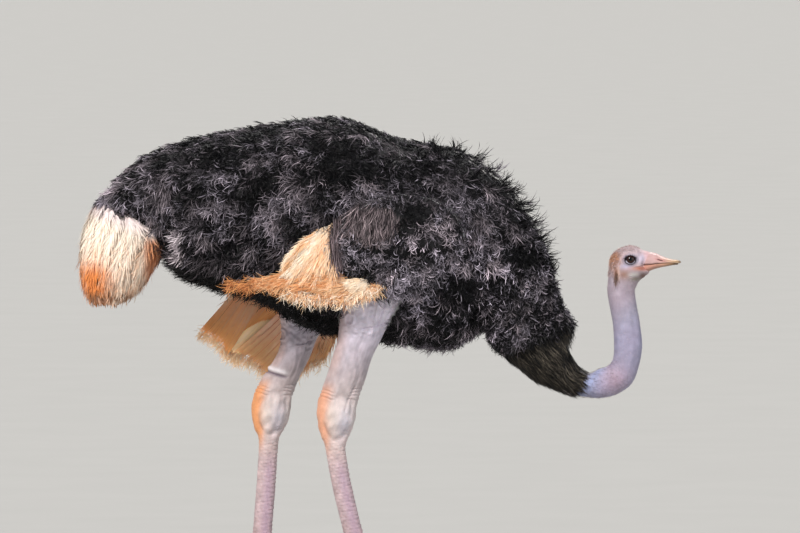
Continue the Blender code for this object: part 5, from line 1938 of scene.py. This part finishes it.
# Groups of plumes: the line of (x, z) that they start on, the line that they end on, how many, bow, colour.
RIGHT_GROUPS = {
    "silky_side": (((-0.144, 1.028), (-0.206, 0.985)), ((-0.250, 0.940), (-0.268, 0.890)), 9, -0.006, "warm"),
    "silky_mid": (((-0.138, 1.034), (-0.186, 1.004)), ((-0.262, 0.912), (-0.262, 0.934)), 8, -0.003, "pale"),
    "silky_rear": (((-0.134, 1.036), (-0.152, 1.020)), ((-0.262, 0.900), (-0.234, 0.882)), 9, 0.002, "pale"),
    "silky": (((-0.128, 1.044), (-0.126, 1.000)), ((-0.246, 0.884), (-0.134, 0.866)), 15, 0.008, "white"),
    "band_under": (((0.004, 0.876), (-0.020, 0.908)), ((-0.230, 0.846), (-0.235, 0.884)), 9, 0.004, "orange"),
    "band": (((0.008, 0.872), (-0.004, 0.902)), ((-0.150, 0.832), (-0.175, 0.880)), 10, 0.010, "warm"),
    "band_front": (((0.006, 0.870), (0.004, 0.896)), ((-0.070, 0.836), (-0.085, 0.878)), 8, 0.004, "pale"),
    "band_rear": (((-0.170, 0.892), (-0.200, 0.917)), ((-0.325, 0.858), (-0.345, 0.880)), 9, 0.006, "orange"),
}
# How long the barbs of each group are, where they aren't as long as RIGHT_BARBS.
RIGHT_BARBS, SHORT_BARBS = 0.042, {"silky_rear": 0.034, "silky_mid": 0.034, "silky_side": 0.030}
# The band's frayed lower edge, and the short orange curls that peep out from under the flank behind it.
RIGHT_FRINGE = (
    (-0.325, 0.872), (-0.262, 0.854), (-0.200, 0.834), (-0.110, 0.832), (-0.045, 0.844), (0.002, 0.866),
)
RIGHT_STRIP = ((-0.410, 0.868), (-0.372, 0.866), (-0.335, 0.862))
CURLS = dict(each=5, spread=0.004, width=0.0013, lift=0.5, droop=0.5, fan=0.6, wave=0.7, turns=1.2, steps=5)
# Rows of curls, in order: line, count, dark and light colour, how rare light is, what CURLS leaves open.
RIGHT_CURLS = (
    (RIGHT_FRINGE, 170, (206, 132, 76), (255, 216, 168), 1.5, dict(length=0.026, curl=1.4, root_shade=0.85)),
    (RIGHT_STRIP, 60, (176, 100, 52), (240, 172, 108), 1.2,
     dict(lie=(-1.0, 0.0, -0.35), length=0.028, curl=1.0, root_shade=0.8)),
    (RIGHT_FRINGE[1:], 120, (250, 220, 184), (255, 248, 236), 1.5,
     dict(length=0.030, curl=0.9, root_shade=0.9)),
)


def build_right_plumes(material):
    """White silky plumes that fan down from under the coverts, over a band of orange, frayed ones."""
    rng = np.random.default_rng(71)
    tufts = Tufts()
    for name, (*group, colour) in RIGHT_GROUPS.items():
        quills, facing, uv = fan_quills(group, RIGHT_TUCK, -1, rng)
        long = np.full(len(quills), SHORT_BARBS.get(name, RIGHT_BARBS))
        grow_plumes(tufts, quills, facing, long, 62, rng, PLUME_COLOURS[colour], uv, 0.0018, (0.40, 0.14),
                    0.09, 0.26, 0.25)
    for line, count, dark, light, rarity, style in RIGHT_CURLS:
        tone = plain_tone(dark, light, rarity)
        frizz(tufts, rng, -1, line, count, tone, RIGHT_TUCK, **CURLS, **style)
    return tufts.piece("wing_plumes_fan_right", material)


# The hanging wing's vanes, in the same order as the groups above, and how far out from the flank each lies.
LEFT_SHEETS = {
    "point": (
        ((-0.331, 0.925), (-0.270, 0.925), (-0.170, 0.900)),
        ((-0.508, 0.718), (-0.446, 0.676), (-0.427, 0.650), (-0.404, 0.702), (-0.346, 0.738),
         (-0.270, 0.752)),
        190, 0.006, 0.010, "brown",
    ),
    "pale_band": (
        ((-0.345, 0.780), (-0.235, 0.742)), ((-0.434, 0.666), (-0.394, 0.648)), 70, 0.003, 0.017, "cream",
    ),
    "second": (
        ((-0.190, 0.866), (-0.090, 0.860)),
        ((-0.412, 0.656), (-0.368, 0.642), (-0.340, 0.618), (-0.312, 0.592), (-0.235, 0.596)),
        170, 0.010, 0.003, "red",
    ),
    "hidden": (
        ((-0.230, 0.860), (-0.110, 0.860)), ((-0.250, 0.602), (-0.150, 0.640)), 110, 0.010, 0.012, "red",
    ),
    "front": (
        ((-0.150, 0.860), (-0.070, 0.860)), ((-0.236, 0.604), (-0.150, 0.640)), 70, 0.008, 0.020, "warm",
    ),
}
LEFT_FRINGE = (
    (-0.500, 0.714), (-0.462, 0.692), (-0.420, 0.646), (-0.380, 0.636), (-0.340, 0.620), (-0.308, 0.596),
    (-0.225, 0.604), (-0.150, 0.640),
)
LEFT_CURLS = dict(each=5, spread=0.004, length=0.026, width=0.0014, lift=0.3, droop=0.2, fan=0.5, curl=0.9,
                  wave=0.5, turns=1.2, root_shade=0.9)


def build_left_plumes(material):
    """The hanging wing: smooth brown vanes in sheets that end in points, pale between and along the hem,
    lightened by painted light.
    """
    rng = np.random.default_rng(81)
    tufts = Tufts()
    for roots, tips, count, bow, height, colour in LEFT_SHEETS.values():
        group = (roots, tips, count, bow)
        for behind in (0.0, 0.003):
            add_sheet(tufts, group, LEFT_TUCK, 1, height + behind, PLUME_COLOURS[colour], rng, 0.0075)
        quills, facing, uv = fan_lines((roots, tips, 7, bow), LEFT_TUCK, 1, height - 0.004, rng)
        add_stems(tufts, quills, -facing, srgb(176, 120, 84), uv, 0.0013)
        quills, facing, uv = fan_lines((roots, tips, 8, bow), LEFT_TUCK, 1, height + 0.012, rng)
        grow_plumes(tufts, quills, facing, np.full(8, 0.05), 40, rng, PLUME_COLOURS["warm"], uv, 0.0020,
                    (0.45, 0.2), 0.10, 0.3, 0.3, 4)
    pale = plain_tone((255, 208, 156), (255, 244, 220))
    frizz(tufts, rng, 1, LEFT_FRINGE, 260, pale, LEFT_TUCK, **LEFT_CURLS)
    return tufts.piece("wing_plumes_fan_left", material)


# ------------------------------------------------------------------ hairs of the head and neck

def hairs_on_head(tufts, rng, count, t_range, turn_range, keep, tone, **style):
    """Single hairs at random places of the head and neck, both sides alike, lying back."""
    t = rng.uniform(*t_range, count)
    turn = rng.uniform(*turn_range, count)
    turn = np.where(rng.uniform(size=count) < 0.5, turn, -turn)
    p, normal, along, _ = spine_frame(t, turn)
    chosen = rng.uniform(size=count) < keep(p)
    p, normal, along, t, turn = p[chosen], normal[chosen], along[chosen], t[chosen], turn[chosen]
    roots = Roots(p, normal, -along, on_map(t, np.mod(turn, 2 * math.pi)))
    grow(tufts, roots, rng, tone, **style)


def lash_roots(side, degrees, out):
    """Roots along the edge of an eye's lid; `out` is how far outside the opening they stand."""
    turn = np.radians(degrees)
    x, z = EYE[0] + EYE_OPENING[0] * out * np.cos(turn), EYE[1] + EYE_OPENING[1] * out * np.sin(turn)
    far = (x - EYE[0]) ** 2 + (z - EYE[1]) ** 2
    y = EYE_Y + np.sqrt((EYE_RADIUS + LID_THICK) ** 2 - far)
    p = xyz(x, side * y, z)
    normal = unit(p - np.array([EYE[0], side * EYE_Y, EYE[1]]))
    outwards = xyz(np.cos(turn), 0.0, np.sin(turn))
    return Roots(p - normal * 0.0008, normal, outwards, on_map(turn, side + 0.01 * turn))


# A single hair, and a group of three eyelashes.
HAIR = dict(each=1, spread=0.0, steps=3, width=0.00042, wave=0.3, fan=0.5, curl=0.5, root_shade=0.8)
LASH = dict(each=3, spread=0.0003, width=0.00050, wave=0.1, fan=0.25, curl=0.2, root_shade=1.0)
# Both sides' hairs, in order: how many are tried, where along the neck and head, how far round from the top,
# how likely one grows at a place, dark and light colour, and what HAIR leaves open.
HAIRS = (
    (5200, (29.5, 36.0), (0.0, 1.0), lambda p: 0.6 * ease(0.742, 0.694, p[:, 0]),
     (150, 120, 116), (226, 200, 198), dict(length=0.0068, lift=0.55, droop=0.4)),
    (8000, (28.6, 33.0), (0.0, 1.5), lambda p: blob(p, (0.652, 0.934), (0.016, 0.016)),
     (140, 86, 54), (236, 172, 122), dict(length=0.0080, lift=0.45, droop=0.4)),
    (1700, (29.5, 36.0), (0.0, 0.9), lambda p: 0.5 * ease(0.738, 0.690, p[:, 0]),
     (66, 54, 54), (150, 134, 132), dict(length=0.0060, lift=0.55, droop=0.5, width=0.0003)),
    (9000, (28.2, 31.5), (1.0, 2.2), lambda p: blob(p, (0.6570, 0.878), (0.0085, 0.016)),
     (60, 38, 30), (150, 112, 90), dict(length=0.0085, lift=0.35, droop=0.3)),
    (5200, (SKIN_EDGE, 30), (0.0, math.pi), lambda p: 0.55,
     (120, 104, 108), (222, 212, 214), dict(length=0.0050, lift=0.5, droop=0.4, width=0.0003)),
    (1400, (SKIN_EDGE, SKIN_EDGE + 2.5), (0.0, math.pi), lambda p: ease(0.68, 0.58, p[:, 0]) + 0.1,
     (66, 54, 54), (150, 134, 132), dict(length=0.0080, lift=0.4, droop=0.3)),
)


def build_hairs(material):
    """Bristles of the head and neck, and eyelashes."""
    rng = np.random.default_rng(91)
    tufts = Tufts()
    for count, t_range, turn_range, keep, dark, light, style in HAIRS:
        tone = plain_tone(dark, light)
        hairs_on_head(tufts, rng, count, t_range, turn_range, keep, tone, **dict(HAIR, **style))
    for _, side in SIDES:
        upper = lash_roots(side, np.linspace(18, 165, 46), 1.04)
        lower = lash_roots(side, np.linspace(200, 340, 26), 1.05)
        dark, lighter = plain_tone((14, 11, 12), (40, 32, 32)), plain_tone((30, 24, 26), (80, 70, 72))
        grow(tufts, upper, rng, dark, length=0.0064, lift=1.5, droop=0.6, **LASH)
        grow(tufts, lower, rng, lighter, length=0.0035, lift=0.9, droop=0.4, **LASH)
    return tufts.piece("hairs", material)


# ------------------------------------------------------------------ floor, lights and camera

CAMERA_AIM = (0.0574, 0.0, 0.9058)
CAMERA_DISTANCE, CAMERA_RISE = 25.0, math.radians(2.5)
FRAME_WIDTH, SENSOR = 2.24, 36.0
# Suns: the way that each shines from, (x, y, z), its strength, how soft it is in degrees, its colour.
LIGHTS = {
    "key": ((-0.50, -1.0, 0.86), 3.6, 12.0, (1.0, 0.97, 0.93)),
    "fill": ((1.0, -0.9, 0.28), 0.98, 50.0, (0.93, 0.96, 1.0)),
    "back": ((0.3, 1.0, 1.1), 1.6, 30.0, (1.0, 0.98, 0.95)),
}
FLOOR_HALF, FLOOR_COLOUR = 1500.0, (0.42, 0.415, 0.40, 1.0)
# The world's light above the horizon, and below it the colour that the floor shows under these lights.
WORLD_LIGHT, FLOOR_SHOWN = (0.342, 0.353, 0.380, 1.0), (0.617, 0.604, 0.578, 1.0)


def aimed(place, at):
    return (Vector(at) - Vector(place)).to_track_quat("-Z", "Y").to_euler()


def studio_world():
    """Even light from above; past a camera's range, the world below the horizon looks like the floor."""
    world = bpy.data.worlds.new("studio")
    world.use_nodes = True
    tree = world.node_tree
    way = add(tree, "ShaderNodeTexCoord").outputs["Generated"]
    split = add(tree, "ShaderNodeSeparateXYZ")
    tree.links.new(way, split.inputs["Vector"])
    ramp = add(tree, "ShaderNodeValToRGB")
    ramp.color_ramp.interpolation = "CONSTANT"
    below, above = ramp.color_ramp.elements
    below.color, above.color, above.position = FLOOR_SHOWN, WORLD_LIGHT, 0.0001
    tree.links.new(split.outputs["Z"], ramp.inputs["Fac"])
    tree.links.new(ramp.outputs["Color"], tree.nodes["Background"].inputs["Color"])
    return world


def build_stage():
    scene = bpy.context.scene
    corners = FLOOR_HALF * np.array([(-1, -1, 0), (1, -1, 0), (1, 1, 0), (-1, 1, 0)], float)
    floor = mesh_object("floor", corners, np.array([(0, 1, 2), (0, 2, 3)]), floor_material())
    for name, (place, strength, softness, colour) in LIGHTS.items():
        light = bpy.data.lights.new(name, "SUN")
        light.energy, light.angle, light.color = strength, math.radians(softness), colour
        obj = bpy.data.objects.new(name, light)
        obj.rotation_euler = aimed(place, (0, 0, 0))
        scene.collection.objects.link(obj)
    scene.world = studio_world()
    camera = bpy.data.objects.new("camera", bpy.data.cameras.new("camera"))
    away = CAMERA_DISTANCE * np.array([0, -math.cos(CAMERA_RISE), math.sin(CAMERA_RISE)])
    camera.location = np.array(CAMERA_AIM) + away
    camera.rotation_euler = aimed(camera.location, CAMERA_AIM)
    camera.data.sensor_width = SENSOR
    camera.data.lens = SENSOR * CAMERA_DISTANCE / FRAME_WIDTH
    camera.data.clip_end = 2 * FLOOR_HALF
    scene.collection.objects.link(camera)
    scene.camera = camera
    scene.view_settings.view_transform = "Standard"


# ------------------------------------------------------------------ put together

FLESH = ["trunk", "neck_collar", "neck_foot", "neck_bend", "neck_upper", "head"]
PAIRED_FLESH = ("ear", "wing_coverts", "drumstick", "shank", "toe_inner", "toe_outer")
FLESH += [part + "_" + name for name, _ in SIDES for part in PAIRED_FLESH]


def place_piece(piece, slot, *nodes):
    """Puts a piece on the one body and hides the part's nodes that it replaces; its slot is not used."""
    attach(piece, "root")
    if nodes:
        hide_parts(*nodes)


def build_solids():
    place_piece(build_skin(skin_material()), "skin", *FLESH)
    horn, wet, claw = (marked_material(name) for name in ("horn_of_bill", "wet_eye", "horn_of_claws"))
    for half in BILL_SHAPES:
        place_piece(build_bill(half, horn), "bill", "bill_" + half)
    for name, side in SIDES:
        place_piece(build_eye(name, side, wet), "eye", "eye_" + name)
        for toe in TOES:
            place_piece(build_claw(name, side, toe, claw), "claw", "claw_" + toe + "_" + name)


def build_coat():
    black, pale, hair = (marked_material(name) for name in ("black_feathers", "pale_plumes", "bristles"))
    tips = feather_tips(0, 14.5, TIP_SPACING, 7)
    for name in TRUNK_PIECES:
        place_piece(trunk_coat(name, tips, black), "plumage_black")
    tips = feather_tips(13.8, COLLAR_END + 1, 0.024, 8)
    place_piece(collar_coat("coat_collar_upper", 14.0, 15.6, tips, black), "plumage_black")
    place_piece(collar_coat("coat_collar_lower", 15.6, COLLAR_END + 1, tips, black), "plumage_black")
    place_piece(neck_foot_coat(black), "plumage_black")
    for name, side in SIDES:
        place_piece(coverts_coat(name, side, black), "plumage_black")
    place_piece(build_tail(pale), "plumage_pale", "tail")
    place_piece(build_right_plumes(pale), "plumage_pale", "wing_plumes_right")
    place_piece(build_left_plumes(pale), "plumage_pale", "wing_plumes_left")
    place_piece(build_hairs(hair), "plumage_black")


build_stage()
build_solids()
build_coat()
